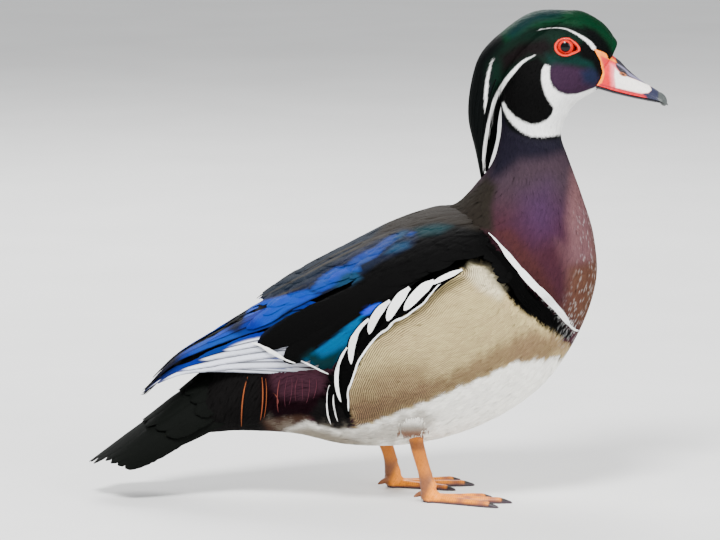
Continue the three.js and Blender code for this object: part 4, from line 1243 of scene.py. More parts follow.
class DUCK_OT_coat(bpy.types.Operator):
    """Small feathers over the head, neck, breast, belly, flanks and rump"""

    bl_idname = "duck.coat"
    bl_label = "Body feathers"

    def execute(self, context):
        sizes = context.scene.duck_sizes
        for number, (region, row) in enumerate(COAT.items()):
            slot, stations, angles, spacing, length, half, lift, blunt = row
            draw = np.random.default_rng(100 + number)
            spacing = spacing * sizes.coat_spacing * 1
            places = scattered(body, stations, angles, spacing, draw, coat_keep(region))
            shape = grid_shape(2, 3 if region == "head" else 4)
            batches = small_feathers(body, places, shape, coat_length(region, length), same(half), lie, lift,
                                     draw, blunt=blunt, ragged=0.5, camber=0.1)
            with_waves = region in ("flank", "belly")
            piece = feather_piece("coat_" + region, batches, body_or_head, draw, waves=with_waves)
            if region in ("neck", "breast"):
                flecks(piece, batches, draw)
            finish_piece(piece, silk_plumage() if region == "head" else soft_plumage())
        return {"FINISHED"}


def flecks(piece, batches, draw):
    """Small white flecks at the tips of some breast feathers."""
    white = np.array(colours().white[:])
    data = piece.data.attributes["Marking"].data
    values = np.empty(len(data) * 4, np.float32)
    data.foreach_get("color", values)
    values = values.reshape(-1, 4)
    start = 0
    for batch in batches:
        count, size = batch["points"].shape[:2]
        s, degrees = batch["stations"][..., 0], np.abs(batch["stations"][..., 1])
        front = smoothstep(degrees, 120, 145) * smoothstep(s, 7.3, 7.9) * (1 - smoothstep(s, 10.3, 11))
        chosen = draw.random(count)[:, None] < blend(0.45, 0.2, smoothstep(s, 8.4, 9.2))
        tip = (np.abs(batch["web"]) < 0.15) * smoothstep(batch["along"], 0.7, 0.8) * (batch["along"] < 0.98)
        cover = (front * chosen * tip * 0.42).ravel()[:, None]
        part = slice(start, start + count * size)
        values[part, :3] = blend(values[part, :3], white, cover)
        start += count * size
    data.foreach_set("color", values.ravel())


def crest_silk(draw):
    places = scattered(crest, (0.02, 6.6), (0, 180), 1.1, draw)
    return small_feathers(
        crest, places, grid_shape(2, 5),
        lambda s, degrees: np.interp(s, [0, 1.2, 5, 6.6], [6, 13, 15, 8]),
        lambda s, degrees: np.interp(s, [0, 5, 6.6], [0.7, 0.7, 0.45]),
        same(0), (-0.6, 0.1), draw, onward=1, blunt=0.9, ragged=0.5, camber=0.1)


class DUCK_OT_crest(bpy.types.Operator):
    """The long crest: silken feathers over its whole length and looser strands on top"""

    bl_idname = "duck.crest"
    bl_label = "Crest"

    def execute(self, context):
        draw = np.random.default_rng(7)
        silk = feather_piece("crest_silk", crest_silk(draw), crest_marks, draw)
        finish_piece(silk, silk_plumage())
        strands = feather_piece("crest_strands", crest_strands(draw), crest_marks, draw)
        finish_piece(strands, silk_plumage(), ["crest"])
        nape = feather_piece("nape_strands", nape_strands(draw), strand_marks, draw)
        finish_piece(nape, silk_plumage())
        finish_piece(crest_bed(draw), silk_plumage())
        return {"FINISHED"}


def crest_marks(batch):
    return head_paint(batch["places"], colours())


def spines(*rows):
    """Spines from stations and angles at the roots, middles and tips."""
    return np.stack([np.stack(row, -1) for row in rows], 1)


def crest_strands(draw):
    """Long thin strands over the crest, one layer starting ahead of the other."""
    shape = grid_shape(4, 18, closed=True)
    count = 24
    batches = []
    for root, end in ((0.9, 5.4), (2.6, 6.9)):
        for side in BOTH:
            angles = np.linspace(3, 170, count) + 4 * (draw.random(count) - 0.5)
            first = root + 1.2 * draw.random(count)
            last = np.minimum(end + 0.9 * (draw.random(count) - 0.6), 6.95)
            drift = 5 * (draw.random(count) - 0.5)
            spine = spines((first, angles), ((first + last) / 2, angles + drift), (last, angles + drift))
            wide = np.repeat(0.5 + 0.4 * draw.random((count, 1)), 2, axis=1)
            lift = np.stack((np.full(count, -1.0), 0.1 + 0.25 * draw.random(count)), -1)
            batches.append(laid(crest, shape, side, spine, wide, lift, blunt=0.8, thick=0.3, draw=draw))
    return batches


def strand_marks(batch):
    c = colours()
    mark = Paint(batch["places"], c.crest_black, 0.3)
    mark.lay_rows([("white", 1, 0.05, 0.8, CHEEK_LINE, [1.6, 1.6])], c)
    return mark


def nape_strands(draw):
    """Strands that hang down the crest's front edge, from the nape to near the tip."""
    shape = grid_shape(4, 18, closed=True)
    batches = []
    count = 7
    for side in BOTH:
        angles = np.linspace(118, 177, count)
        spine = spines(*[(start + loose * draw.random(count), angles)
                         for start, loose in ((3, 0.3), (4.6, 0.2), (6, 0.7))])
        reach = np.linspace(0.4, 1.9, count)
        lift = np.stack((np.full(count, 0.2), reach, 0.3 * reach), -1)
        batches.append(laid(crest, shape, side, spine, np.full((count, 2), 1.1), lift, blunt=0.8, thick=0.3,
                            roll=np.linspace(0.2, 2, count), draw=draw))
    return batches


def crest_bed(draw):
    """The dense inside of the crest, which grows out of the crown."""
    shape = grid_shape(24, 40)
    spine = np.array([[(0, 0), (3.3, 0), (6.6, 0)]])
    batch = laid(crest, shape, RIGHT, spine, np.full((1, 2), 1.0), np.full((1, 2), -1.9), draw=draw)
    s = 6.6 * shape["along"][None]
    inset = np.minimum(0.7, 0.4 * through(CREST, s)[..., 4]) + 2.4 * (1 - smoothstep(s, 0, 0.6))
    batch["points"] = crest.at(s, 180 * shape["web"][None], RIGHT, -inset)
    batch["places"] = plate_of(batch["points"])
    return feather_piece("crest_bed", [batch], crest_marks, draw)


# Wing feathers by their places on the plate: roots, middles and tips from the lowest up, then the
# half widths of the lower and the upper web in millimetres
PRIMARIES = [
    ((332, 372.5), (233, 369.6), (140.5, 391), 2.3, 5),
    ((328, 367), (240, 362.6), (156, 382.5), 4.7, 5),
    ((310, 352.5), (243, 354), (176, 370.8), 4.8, 5),
    ((305, 346), (250, 346.4), (196, 359.5), 4.8, 5),
    ((300, 340), (260, 340), (221, 349.7), 4, 5),
]
BLADES = [
    ((320, 318), (238, 330), (151, 380), 5, 5.4),
    ((322, 306), (262, 314), (206, 342), 4.5, 5),
]
SECONDARIES = [
    ((392, 330), (362, 350), (329, 374), 3.8, 5),
    ((390, 322), (355, 344), (319, 370), 3.8, 5),
    ((388, 315), (350, 338), (310, 366), 3.8, 5),
    ((384, 308), (346, 332), (302, 361), 3.8, 5),
]
TERTIALS = [
    ((434, 240), (345, 275), (246, 328), 7, 7),
    ((434, 266), (358, 310), (283, 362), 8, 8),
    ((444, 252), (350, 298), (257, 343.5), 10.5, 7),
]
RIDGE = [
    ((420, 224), (335, 264), (262, 305), 5, 5),
    ((425, 214), (350, 252), (285, 290), 5, 5),
    ((420, 212), (356, 241), (305, 272), 5, 4),
]


# The wing's large feathers from the lowest group to the highest: name, rows, lifts of the first and
# the last one's root and tip, and blunt end
WING_GROUPS = [
    ("primaries", PRIMARIES, (-1.2, -1), (-2.2, -0.6), 0.5),
    ("blades", BLADES, (-2, -1), (-0.9, -0.5), 0.5),
    ("secondaries", SECONDARIES, (-2, -1.2), (-0.7, 0), 0.3),
    ("tertials", TERTIALS, (-1.6, 0.2), (0, 0.7), 0.22),
    ("ridge", RIDGE, (-0.6, 0.4), (0.3, 0.9), 0.5),
]


def row_spines(surface, rows):
    """Spines through the roots, middles and tips that rows give on the plate."""
    return np.stack([surface.station_of([row[k] for row in rows]) for k in range(3)], 1)


def wing_vanes(side, draw):
    """The large feathers of one wing, laid from the lowest group up."""
    shape = grid_shape(10, 34, closed=True)
    batches = []
    for name, rows, root_lift, tip_lift, blunt in WING_GROUPS:
        steps = np.linspace(0, 1, len(rows))
        lift = np.stack((blend(*root_lift, steps), blend(*tip_lift, steps)), -1)
        half = np.array([row[3:] for row in rows], float)
        made = laid(mantle, shape, side, row_spines(mantle, rows), half, lift, blunt=blunt, thick=0.35,
                    camber=0.03, ragged=0.08, shaft=0.25, draw=draw)
        made["group"] = name
        made["number"] = np.broadcast_to(np.arange(len(rows))[:, None], made["web"].shape)
        batches.append(made)
    return batches


def wing_marks(batch):
    paint = {"primaries": primary_paint, "blades": blade_paint}.get(batch.get("group"))
    return paint(batch, colours()) if paint else wing_paint(batch["places"], colours())


# Small wing feathers: stations, angles, spacing, length at both stations, half width, lift
WING_COAT = {
    "scapulars": ((4, 5.9), (0, 40), 6, (22, 22), 5, (-0.8, 0.7)),
    "shoulder": ((5.6, 8.7), (0, 96), 3, (18, 12), 3, (-0.8, 0.35)),
    "lower_back": ((0.6, 3.6), (0, 30), 4.5, (20, 20), 3.2, (-4.5, -3.2)),
}


def clear_of_flank(s, degrees):
    """Where wing feathers and their tips stay above the flank's rim."""
    clear = np.ones(len(s), bool)
    for back, down in ((0, 0), (0.15, 4), (0.3, 4), (0.45, 7)):
        places = plate_of(mantle.at(s - back, degrees, RIGHT, 0)) + (0, down)
        clear &= area(places, FLANK_COVER, 1) < 0.5
    return clear


class DUCK_OT_wings(bpy.types.Operator):
    """Folded wings, their flight feathers, tertials and shoulder feathers laid one over the other"""

    bl_idname = "duck.wings"
    bl_label = "Wings"

    def execute(self, context):
        for side, word in SIDES:
            draw = np.random.default_rng(40 + side)
            piece = feather_piece("wing_vanes_" + word, wing_vanes(side, draw), wing_marks, draw, sharp=True)
            finish_piece(piece, vane_plumage(), ["wing_" + word])
        for number, (name, row) in enumerate(WING_COAT.items()):
            stations, angles, spacing, reach, half, lift = row
            draw = np.random.default_rng(60 + number)
            places = scattered(mantle, stations, angles, spacing, draw, clear_of_flank)
            batches = small_feathers(mantle, places, grid_shape(6, 8),
                                     lambda s, degrees: np.interp(s, stations, reach), same(half), same(0),
                                     lift, draw, blunt=0.5, ragged=0.12, camber=0.06)
            finish_piece(feather_piece("wing_" + name, batches, wing_marks, draw), vane_plumage())
        finish_piece(wing_bed(draw), vane_plumage())
        return {"FINISHED"}


WING_TOP = [(0.9, 14), (2.4, 3), (5.2, 1), (6, 4), (7, 14), (8.5, 40)]
WING_BOTTOM = [
    (0.9, 66), (2.2, 84), (3.4, 98), (4.3, 98), (5, 84), (5.75, 72), (6.5, 64), (7.5, 62), (8.5, 60),
]


def wing_bed(draw):
    """A dark bed under the wing feathers of both sides."""
    shape = grid_shape(14, 30, closed=True)
    batches = []
    for side in BOTH:
        spine = np.array([[(0.9, 40), (4.5, 40), (8.4, 40)]])
        batch = laid(mantle, shape, side, spine, np.full((1, 2), 1.0), np.full((1, 2), -3.0), draw=draw)
        s = 0.9 + 7.5 * shape["along"][None]
        degrees = blend(between(WING_TOP, s), between(WING_BOTTOM, s), 0.5 - 0.5 * side * shape["web"][None])
        drop = blend(-6.5, -3.4, shape["deep"][None]) - 2 * smoothstep(s, 7, 8.4)
        batch["points"] = mantle.at(s, degrees, side, drop)
        batch["places"] = plate_of(batch["points"])
        batches.append(batch)
    return feather_piece("wing_bed", batches, lambda one: Paint(one["places"], colours().black, 0.1), draw)


# The flank's white crescents on the plate: root, middle, tip and half width, all in plate steps
CRESCENTS = [
    ((461, 270), (446, 276.5), (432, 285), 2.6),
    ((434, 281), (418.3, 292), (403.7, 311), 5.2),
    ((410.5, 288), (396, 302.5), (386, 321.5), 4.9),
    ((389, 301), (376.6, 316), (370.6, 334), 4.2),
    ((370.3, 319), (356, 337.5), (352, 364), 3.7),
    ((348, 348), (336.6, 373), (342, 401), 2.1),
    ((331.3, 384), (326, 404), (332.5, 423), 0.8),
    ((334.5, 394), (332.5, 406), (339.5, 420), 0.7),
]
CRESCENT_EDGE = 1.8
RIM_BAND = [
    (456, 272.5), (446, 278), (434, 288), (423, 298), (411, 307), (399, 315), (387, 325), (375, 334),
    (365, 345), (357, 359), (350, 373), (345, 388), (343, 402), (347, 418),
]


def beside(grid):
    """A grid and its eight neighbours."""
    return [np.roll(np.roll(grid, i, 0), j, 1) for i in (-1, 0, 1) for j in (-1, 0, 1)]


def outer_depth():
    """How near the bird's side comes to the viewer, by steps of two over the side view."""
    depth = np.full((270, 360), -1e3)
    for surface in (body, mantle):
        stations, shown = surface.shown()
        near = turned(surface.at(stations[:, 0], stations[:, 1], RIGHT, 0)) @ VIEW_BACK
        cell = (shown / 2).astype(int)
        np.maximum.at(depth, (cell[:, 1], cell[:, 0]), near)
    for _ in range(3):
        depth = np.where(depth < -999, np.maximum.reduce(beside(depth)), depth)
    for _ in range(2):
        depth = sum(beside(depth)) / 9
    return depth


def over_side(batch, depth, rise, deep):
    """Lifts feathers towards the viewer where the wing or the flank would hide them."""
    points = batch["points"]
    to_right = np.ones_like(points)
    to_right[..., 1] = -np.sign(points[..., 1])
    cell = np.clip((batch["places"] / 2).astype(int), 0, (359, 269))
    near = turned(points * to_right) @ VIEW_BACK
    need = depth[cell[..., 1], cell[..., 0]] + rise + (deep - 1) * 0.35 - near
    batch["points"] = points + np.clip(need, 0, 7)[..., None] * VIEW_BACK * to_right
    return batch


def rim_vanes(surface, rows, half, rise, depth, draw):
    """Narrow feathers on both sides along rows of root, middle and tip."""
    shape = grid_shape(8, 16, closed=True)
    spine = row_spines(surface, rows)
    lift = np.broadcast_to((rise - 0.3, rise, rise), (len(rows), 3))
    wide = np.repeat(np.array(half, float)[:, None] * PLATE_STEP, 2, axis=1)
    made = [laid(surface, shape, side, spine, wide, lift, blunt=0.45, thick=0.35, camber=0.04, draw=draw)
            for side in BOTH]
    return [over_side(batch, depth, rise, shape["deep"]) for batch in made]


def along_line(line, step):
    """Overlapping rows of root, middle and tip that follow a line."""
    points = curve(line, 4)
    starts = range(0, len(points) - 2 * step, step)
    return [(points[i], points[i + step], points[i + 2 * step]) for i in starts]


def rim_line(surface, line, stops, halves, rise, colour, step=4):
    """A layer of rim feathers along a line, its half widths running through the halves at the stops."""
    rows = along_line(line, step)
    return surface, rows, np.interp(np.linspace(0, 1, len(rows)), stops, halves), rise, colour


def rim_layers():
    """The rim's layers from the lowest up: surface, rows, half widths, rise and colour."""
    c = colours()
    crescents = [row[:3] for row in CRESCENTS]
    half = np.array([row[3] for row in CRESCENTS])
    return [
        rim_line(body, RIM_BAND, [0], [3.6], 0.1, c.black),
        rim_line(body, SHOULDER_BLACK[1:-1], [0], [6.5], 0.2, c.black),
        rim_line(body, FLANK_EDGE, [0, 0.3, 0.6, 1], [0.5, 0.9, 1.1, 0.8], 0.6, c.white, step=3),
        rim_line(body, SHOULDER_BAR, np.linspace(0, 1, len(BAR_HALVES)), BAR_HALVES, 0.8, c.white),
        (body, crescents, half + CRESCENT_EDGE, 0.7, c.black),
        (body, crescents, half, 1.1, c.white),
        rim_line(mantle, TERTIAL_TIP, [0, 0.4, 0.8, 1], [1, 2.2, 1.7, 0.8], 1.3, c.white),
        rim_line(mantle, SECONDARY_TIPS, [0], [0.9], 0.7, c.white),
    ]


class DUCK_OT_flank_rims(bpy.types.Operator):
    """The flanks' upper rim: white crescents edged with black, a black band and a thin white line"""

    bl_idname = "duck.flank_rims"
    bl_label = "Flank crescents"

    def execute(self, context):
        draw = np.random.default_rng(21)
        depth = outer_depth()
        batches = []
        for surface, rows, halves, rise, colour in rim_layers():
            for batch in rim_vanes(surface, rows, halves, rise, depth, draw):
                batch["colour"] = colour
                batches.append(batch)
        piece = feather_piece("flank_crescents", batches,
                              lambda batch: Paint(batch["places"], batch["colour"], 0.1), draw, sharp=True)
        finish_piece(piece, soft_plumage())
        return {"FINISHED"}


# Layers of tail feathers: how many, root and tip of the outermost and the innermost as station and
# angle, half width, and root and tip lifts of the outermost and the innermost
TAIL_LAYERS = [
    (6, ((0.3, 76), (1.8, 82)), ((0.3, 5), (2.0, 6)), 6.2, ((-3, -1), (-2, 0.3))),
    (4, ((0.05, 70), (1.05, 66)), ((0.05, 10), (1.25, 8)), 6.5, ((-2, 0.6), (-2, 1.2))),
    (4, ((-0.3, 66), (0.55, 62)), ((-0.3, 10), (0.65, 8)), 6, ((-1.5, 1.2), (-1.5, 1.8))),
]


def ranked(count, first, last, draw):
    """A row of spines between a first and a last one, each given as root and tip station and angle."""
    share = np.linspace(0, 1, count)[:, None]
    root, tip = (blend(np.array(first[k], float), np.array(last[k], float), share)
                 + (draw.random((count, 2)) - 0.5) * (0.1, 2) for k in (0, 1))
    return np.stack((root, (root + tip) / 2, tip), 1)


class DUCK_OT_tail(bpy.types.Operator):
    """The long drooping tail, its feathers overlapping from the middle outwards"""

    bl_idname = "duck.tail"
    bl_label = "Tail"

    def execute(self, context):
        draw = np.random.default_rng(31)
        shape = grid_shape(10, 34, closed=True)
        batches = []
        for side in BOTH:
            for count, first, last, half, lift in TAIL_LAYERS:
                spine = ranked(count, first, last, draw)
                share = np.linspace(0, 1, count)[:, None]
                raised = blend(np.array(lift[0], float), np.array(lift[1], float), share)
                batches.append(laid(tail, shape, side, spine, np.full((count, 2), float(half)), raised,
                                    blunt=0.32, thick=0.35, camber=0.03, ragged=0.1, shaft=0.3, draw=draw))
        batches.append(tail_bed(draw))
        piece = feather_piece("tail_vanes", batches,
                              lambda batch: Paint(batch["places"], colours().tail, 0.25), draw, sharp=True)
        finish_piece(piece, vane_plumage(), ["tail"])
        return {"FINISHED"}


def tail_bed(draw):
    """The tail's thick root and underside."""
    shape = grid_shape(16, 20, closed=True)
    spine = np.array([[(0, 0), (0.7, 0), (1.4, 0)]])
    batch = laid(tail, shape, RIGHT, spine, np.full((1, 2), 1.0), np.full((1, 2), -2.0), draw=draw)
    s = -0.15 + 1.75 * shape["along"][None]
    degrees = 84 * shape["web"][None]
    thick = blend(26, 2, smoothstep(s, 0.4, 1.6)) * np.cos(np.radians(degrees)) + 1.5
    deep = (1 - shape["deep"][None]) * thick
    batch["points"] = tail.at(s, degrees, RIGHT, -2.2) - np.stack((0 * deep, 0 * deep, deep), -1)
    batch["places"] = plate_of(batch["points"])
    return batch


RUMP_PLUMES = [
    ((246.7, 377), (244, 401), (241, 425), 0.38),
    ((263, 377), (261.7, 398), (260, 419), 0.36),
    ((266.2, 379), (265, 398), (263, 417), 0.2),
    ((280, 377), (279, 394), (277, 411), 0.3),
    ((274, 393), (276, 398), (278, 403), 0.25),
    ((286, 377), (285, 392), (284, 406), 0.13),
    ((291, 377), (290.5, 390), (290, 404), 0.13),
    ((297, 377), (296, 388), (295, 400), 0.13),
    ((303, 377), (302.5, 388), (302, 399), 0.13),
    ((309, 377), (308.5, 390), (307, 402), 0.13),
    ((315, 378), (314.5, 388), (314, 398), 0.13),
]


def plume_marks(batch):
    c = colours()
    mark = Paint(batch["places"], c.plume_orange, 0.1)
    mark.lay(smoothstep(batch["places"][..., 0], 270, 283), c.plume_pink)
    return mark


class DUCK_OT_rump_plumes(bpy.types.Operator):
    """Thin orange plumes that hang down the rump's sides"""

    bl_idname = "duck.rump_plumes"
    bl_label = "Rump plumes"

    def execute(self, context):
        draw = np.random.default_rng(51)
        shape = grid_shape(4, 20, closed=True)
        spine = row_spines(body, RUMP_PLUMES)
        wide = np.array([row[3:] * 2 for row in RUMP_PLUMES], float)
        lift = np.tile((0.1, 1.2), (len(wide), 1))
        batches = [laid(body, shape, side, spine, wide, lift, blunt=0.6, thick=0.3, shaft=0.1, ragged=0.2,
                        draw=draw) for side in BOTH]
        finish_piece(feather_piece("rump_plumes", batches, plume_marks, draw), soft_plumage())
        return {"FINISHED"}


def colour_mesh(mesh, paint):
    """Paints a mesh that is in metres by the plate."""
    co = np.empty(len(mesh.vertices) * 3, np.float32)
    mesh.vertices.foreach_get("co", co)
    add_marking(mesh, paint(unsettled(co.reshape(-1, 3).astype(float))).colour)


def rounded_copy(name, nodes, voxel, smooth):
    """One smooth skin round copies of nodes of the frame."""
    bm = bmesh.new()
    for node in nodes:
        bm.from_mesh(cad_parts[node].data)
    bmesh.ops.remove_doubles(bm, verts=bm.verts[:], dist=1e-6)
    piece = new_object(name, mesh_of(name, bm))
    remesh = piece.modifiers.new("Remesh", "REMESH")
    remesh.mode = "VOXEL"
    remesh.voxel_size = voxel
    even = piece.modifiers.new("Smooth", "SMOOTH")
    even.iterations = smooth
    even.factor = 0.5
    made = bpy.data.meshes.new_from_object(piece.evaluated_get(bpy.context.evaluated_depsgraph_get()))
    bpy.data.objects.remove(piece)
    made.name = name
    return new_object(name, smoothed(made))


# How far from the eye's middle its colours change, and where the clear front bulges
IRIS_RIM = (4.2, 4.7)
PUPIL_RIM = (2.8, 3.1)
CORNEA = 3.5


def eyeball(name, side):
    bm = bmesh.new()
    bmesh.ops.create_uvsphere(bm, u_segments=64, v_segments=48, radius=EYE["radius"])
    ball = spots(bm)
    away = np.hypot(ball[:, 0], ball[:, 1])
    out = side * ball[:, 2] * (1 + 0.06 * (away < CORNEA))
    put(bm, np.stack((ball[:, 0], out, ball[:, 1]), -1) + (EYE["x"], side * EYE["y"], EYE["z"]))
    mesh = smoothed(mesh_of(name, bm))
    c = colours()
    mark = Paint(np.zeros((len(away), 2)), c.iris, 0)
    mark.lay(smoothstep(away, *IRIS_RIM), c.iris_rim)
    mark.lay(1 - smoothstep(away, *PUPIL_RIM), c.pupil)
    add_marking(mesh, mark.colour)
    return mesh


class DUCK_OT_eyes(bpy.types.Operator):
    """Wet eyes with a red iris and a round black pupil"""

    bl_idname = "duck.eyes"
    bl_label = "Eyes"

    def execute(self, context):
        finish = material_named("Wet eye", lambda name: painted(name, 0.1, 0, 4000, Specular_IOR_Level=0.22))
        for side, word in SIDES:
            name = "eyeball_" + word
            finish_piece(new_object(name, eyeball(name, side)), finish, ["eye_" + word])
        return {"FINISHED"}


LID_INNER = (4.7, 4)
LID_OUTER = (6.5, 5.4)
LID_POINT = (1.5, 2.1)
LID_DROP = 1.5


def lids(name, side):
    bm = bmesh.new()
    bmesh.ops.create_grid(bm, x_segments=128, y_segments=14, size=1)
    flat = spots(bm)
    a = math.pi * flat[:, 0]
    share = (flat[:, 1] + 1) / 2
    front = np.maximum(0, np.cos(a)) ** 5
    x = blend(LID_INNER[0], LID_OUTER[0], share) * np.cos(a) + blend(*LID_POINT, share) * front
    z = blend(LID_INNER[1], LID_OUTER[1], share) * np.sin(a) - LID_DROP * front
    ball = EYE["radius"] + 0.15
    on_ball = np.sqrt(np.maximum(ball**2 - x**2 - z**2, 4)) + EYE["y"]
    around = np.stack((EYE["x"] + x, np.zeros_like(x), EYE["z"] + z), -1)
    swell = np.exp(-(((share - 0.6) / 0.26) ** 2))
    ridge = 0.95 * swell + 0.3 * np.exp(-(((share - 0.1) / 0.1) ** 2))
    beads = 0.06 * np.sin(40 * a) * swell
    y = blend(on_ball, skin_depth(around) - 0.35, smoothstep(share, 0, 0.5)) + ridge + beads
    put(bm, np.stack((EYE["x"] + x, side * y, EYE["z"] + z), -1))
    mesh = mesh_of(name, bm)
    face_out(mesh, side)
    colour_mesh(mesh, lid_paint)
    return smoothed(mesh)


class DUCK_OT_eyelids(bpy.types.Operator):
    """Bare orange-red lids round the eyes, drawn to a point towards the bill"""

    bl_idname = "duck.eyelids"
    bl_label = "Eyelids"

    def execute(self, context):
        finish = material_named("Bare lid skin", lambda name: painted(name, 0.4, 0.3, 1800, Coat_Weight=0.2))
        for side, word in SIDES:
            name = "lids_" + word
            finish_piece(new_object(name, lids(name, side)), finish, ["eyelids_" + word])
        return {"FINISHED"}


def lid_paint(points):
    c = colours()
    mark = Paint(plate_of(points), c.lid, 0)
    x, z = points[:, 0] - EYE["x"], points[:, 2] - EYE["z"]
    # Painted shade in the groove inside the lids and in their front corner
    inside = np.hypot(x / LID_INNER[0], z / LID_INNER[1])
    mark.lay(1 - smoothstep(inside, 1.03, 1.14), c.lid_groove_shade)
    corner = smoothstep(x, 4.4, 4.9) * (1 - smoothstep(x, 5.8, 6.6))
    mark.lay(corner * (1 - smoothstep(np.abs(z + 1.2), 0.4, 1.1)), c.lid_groove_shade)
    return mark


def face_out(mesh, side):
    """Turns an open sheet so that it faces away from the bird's middle."""
    mesh.update()
    facing = sum(polygon.normal.y * polygon.area for polygon in mesh.polygons)
    if facing * side < 0:
        mesh.flip_normals()


def skin_depth(points):
    """How far from the middle the head's surface lies at places of its side."""
    s, degrees = np.meshgrid(np.linspace(14, 20.5, 160), np.linspace(5, 160, 160))
    shown = body.at(s.ravel(), degrees.ravel(), LEFT, 0)
    tree = KDTree(len(shown))
    for i, place in enumerate(shown):
        tree.insert((place[0], 0, place[2]), i)
    tree.balance()
    return np.array([shown[tree.find((p[0], 0, p[2]))[1]][1] for p in points])


BILL_YELLOW = [
    (590, 43), (595, 46), (600.8, 48.6), (609, 54.5), (615.5, 60.5), (617, 63), (612, 60.8), (606.3, 58.4),
    (600.5, 55.5), (601.6, 60), (603.5, 66), (604.4, 74), (603.5, 79), (601.5, 83), (597, 86), (600, 74),
    (596, 58),
]
BILL_WHITE = [
    (615, 68), (618, 71), (622, 75), (628, 76.5), (636, 79.5), (643, 82), (649, 84), (652.5, 90), (648, 93),
    (642, 93.4), (628, 90.5), (616, 87.6), (614.4, 76),
]
BILL_PATCH = [
    (615.4, 62.6), (616, 54), (626, 56), (640, 70), (653, 82), (650, 85.4), (643, 82.6), (636, 79.6),
    (629, 77), (624.5, 75.4), (620, 72.2), (616.2, 67),
]
BILL_TIP = [
    (649.4, 84), (651.5, 90), (648.5, 93), (642.5, 93.5), (645.8, 97.2), (650, 101), (662, 106), (672, 108),
    (672, 88),
]


BILL_MARKS = [
    ("bill_pink", 1, 0, 7, [(611, 64), (616, 66), (617.5, 88), (612, 86), (611, 74)]),
    ("bill_white", 1, 0, 2.5, BILL_WHITE),
    ("bill_black", 1, 0, 1, BILL_PATCH),
    ("bill_lilac", 1, 0, 1.5, [
        (617, 64), (621, 66.4), (626, 70.4), (630, 74.6), (638, 79), (648, 84),
    ], [0.4, 0.7, 0.7, 1.3, 1, 0.5]),
    ("bill_blue", 1, 0, 1.5, BILL_TIP),
    ("nail", 1, 0, 2.5, [(659, 88), (658, 98), (660, 108), (672, 112), (672, 88)]),
    ("bill_dark_red", 1, 0, 0.8, [(600, 84.5), (615, 88.3), (632, 92.7), (646, 96.3)], [0.5, 0.5]),
    ("bill_black", 1, 0, 0.8, [
        (599, 88.6), (616, 92.6), (634, 96.6), (650, 100), (662, 103.4),
    ], [0.5, 0.6]),
    ("nostril_rim", 1, 0, 1, [(620.6, 73.4), (622.8, 74.4), (625.2, 75.4)], [1.5, 1.9, 1.3]),
    ("bill_black", 1, 0, 0.6, [(622, 74), (624, 74.8)], [0.6, 0.6]),
    ("bill_yellow", 1, 0, 1.5, BILL_YELLOW),
]


def bill_paint(points):
    c = colours()
    mark = Paint(plate_of(points), c.bill_red, 0)
    mark.lay_rows(BILL_MARKS, c)
    return mark


def horn(name):
    return painted(name, 0.34, 0.25, 700, Specular_IOR_Level=0.35, Coat_Weight=0.08, Coat_Roughness=0.2)


class DUCK_OT_bill(bpy.types.Operator):
    """Upper and lower bill with their bands of yellow, red, white and black"""

    bl_idname = "duck.bill"
    bl_label = "Bill"

    def execute(self, context):
        finish = material_named("Bill horn", horn)
        upper = rounded_copy("upper_bill", ["bill_upper"], 0.00032, 6)
        colour_mesh(upper.data, bill_paint)
        finish_piece(upper, finish, ["bill_upper"])
        finish_piece(nail_piece(), finish)
        lower = rounded_copy("lower_bill", ["bill_lower"], 0.00032, 5)
        colour_mesh(lower.data, lambda points: Paint(plate_of(points), colours().bill_black, 0))
        finish_piece(lower, finish, ["bill_lower"])
        return {"FINISHED"}


NAIL = {"x": 161.4, "z": 230.9, "half": (2.6, 3.0, 4.8), "lean": math.radians(38)}


def nail_piece():
    """The hard nail that hooks over the upper bill's tip."""
    bm = bmesh.new()
    bmesh.ops.create_uvsphere(bm, u_segments=40, v_segments=28, radius=1)
    x, y, z = (spots(bm) * NAIL["half"]).T
    x = x - 0.12 * z * z / NAIL["half"][2]
    c, s = math.cos(NAIL["lean"]), math.sin(NAIL["lean"])
    put(bm, np.stack((NAIL["x"] + x * c - z * s, y, NAIL["z"] + x * s + z * c), -1))
    mesh = smoothed(mesh_of("bill_nail", bm))
    colour_mesh(mesh, nail_paint)
    return new_object("bill_nail", mesh)


def nail_paint(points):
    places = plate_of(points)
    mark = Paint(places, colours().nail, 0)
    mark.lay(1 - smoothstep(places[..., 0], 656, 660), colours().bill_blue)
    return mark


FEET = {
    "right": {"heel": (30, -25), "heading": math.radians(-4), "side": RIGHT},
    "left": {"heel": (9.5, 25), "heading": math.radians(3), "side": LEFT},
}
TOES = [(37, math.radians(-24)), (46, math.radians(2)), (43, math.radians(25))]
CLAW = 7


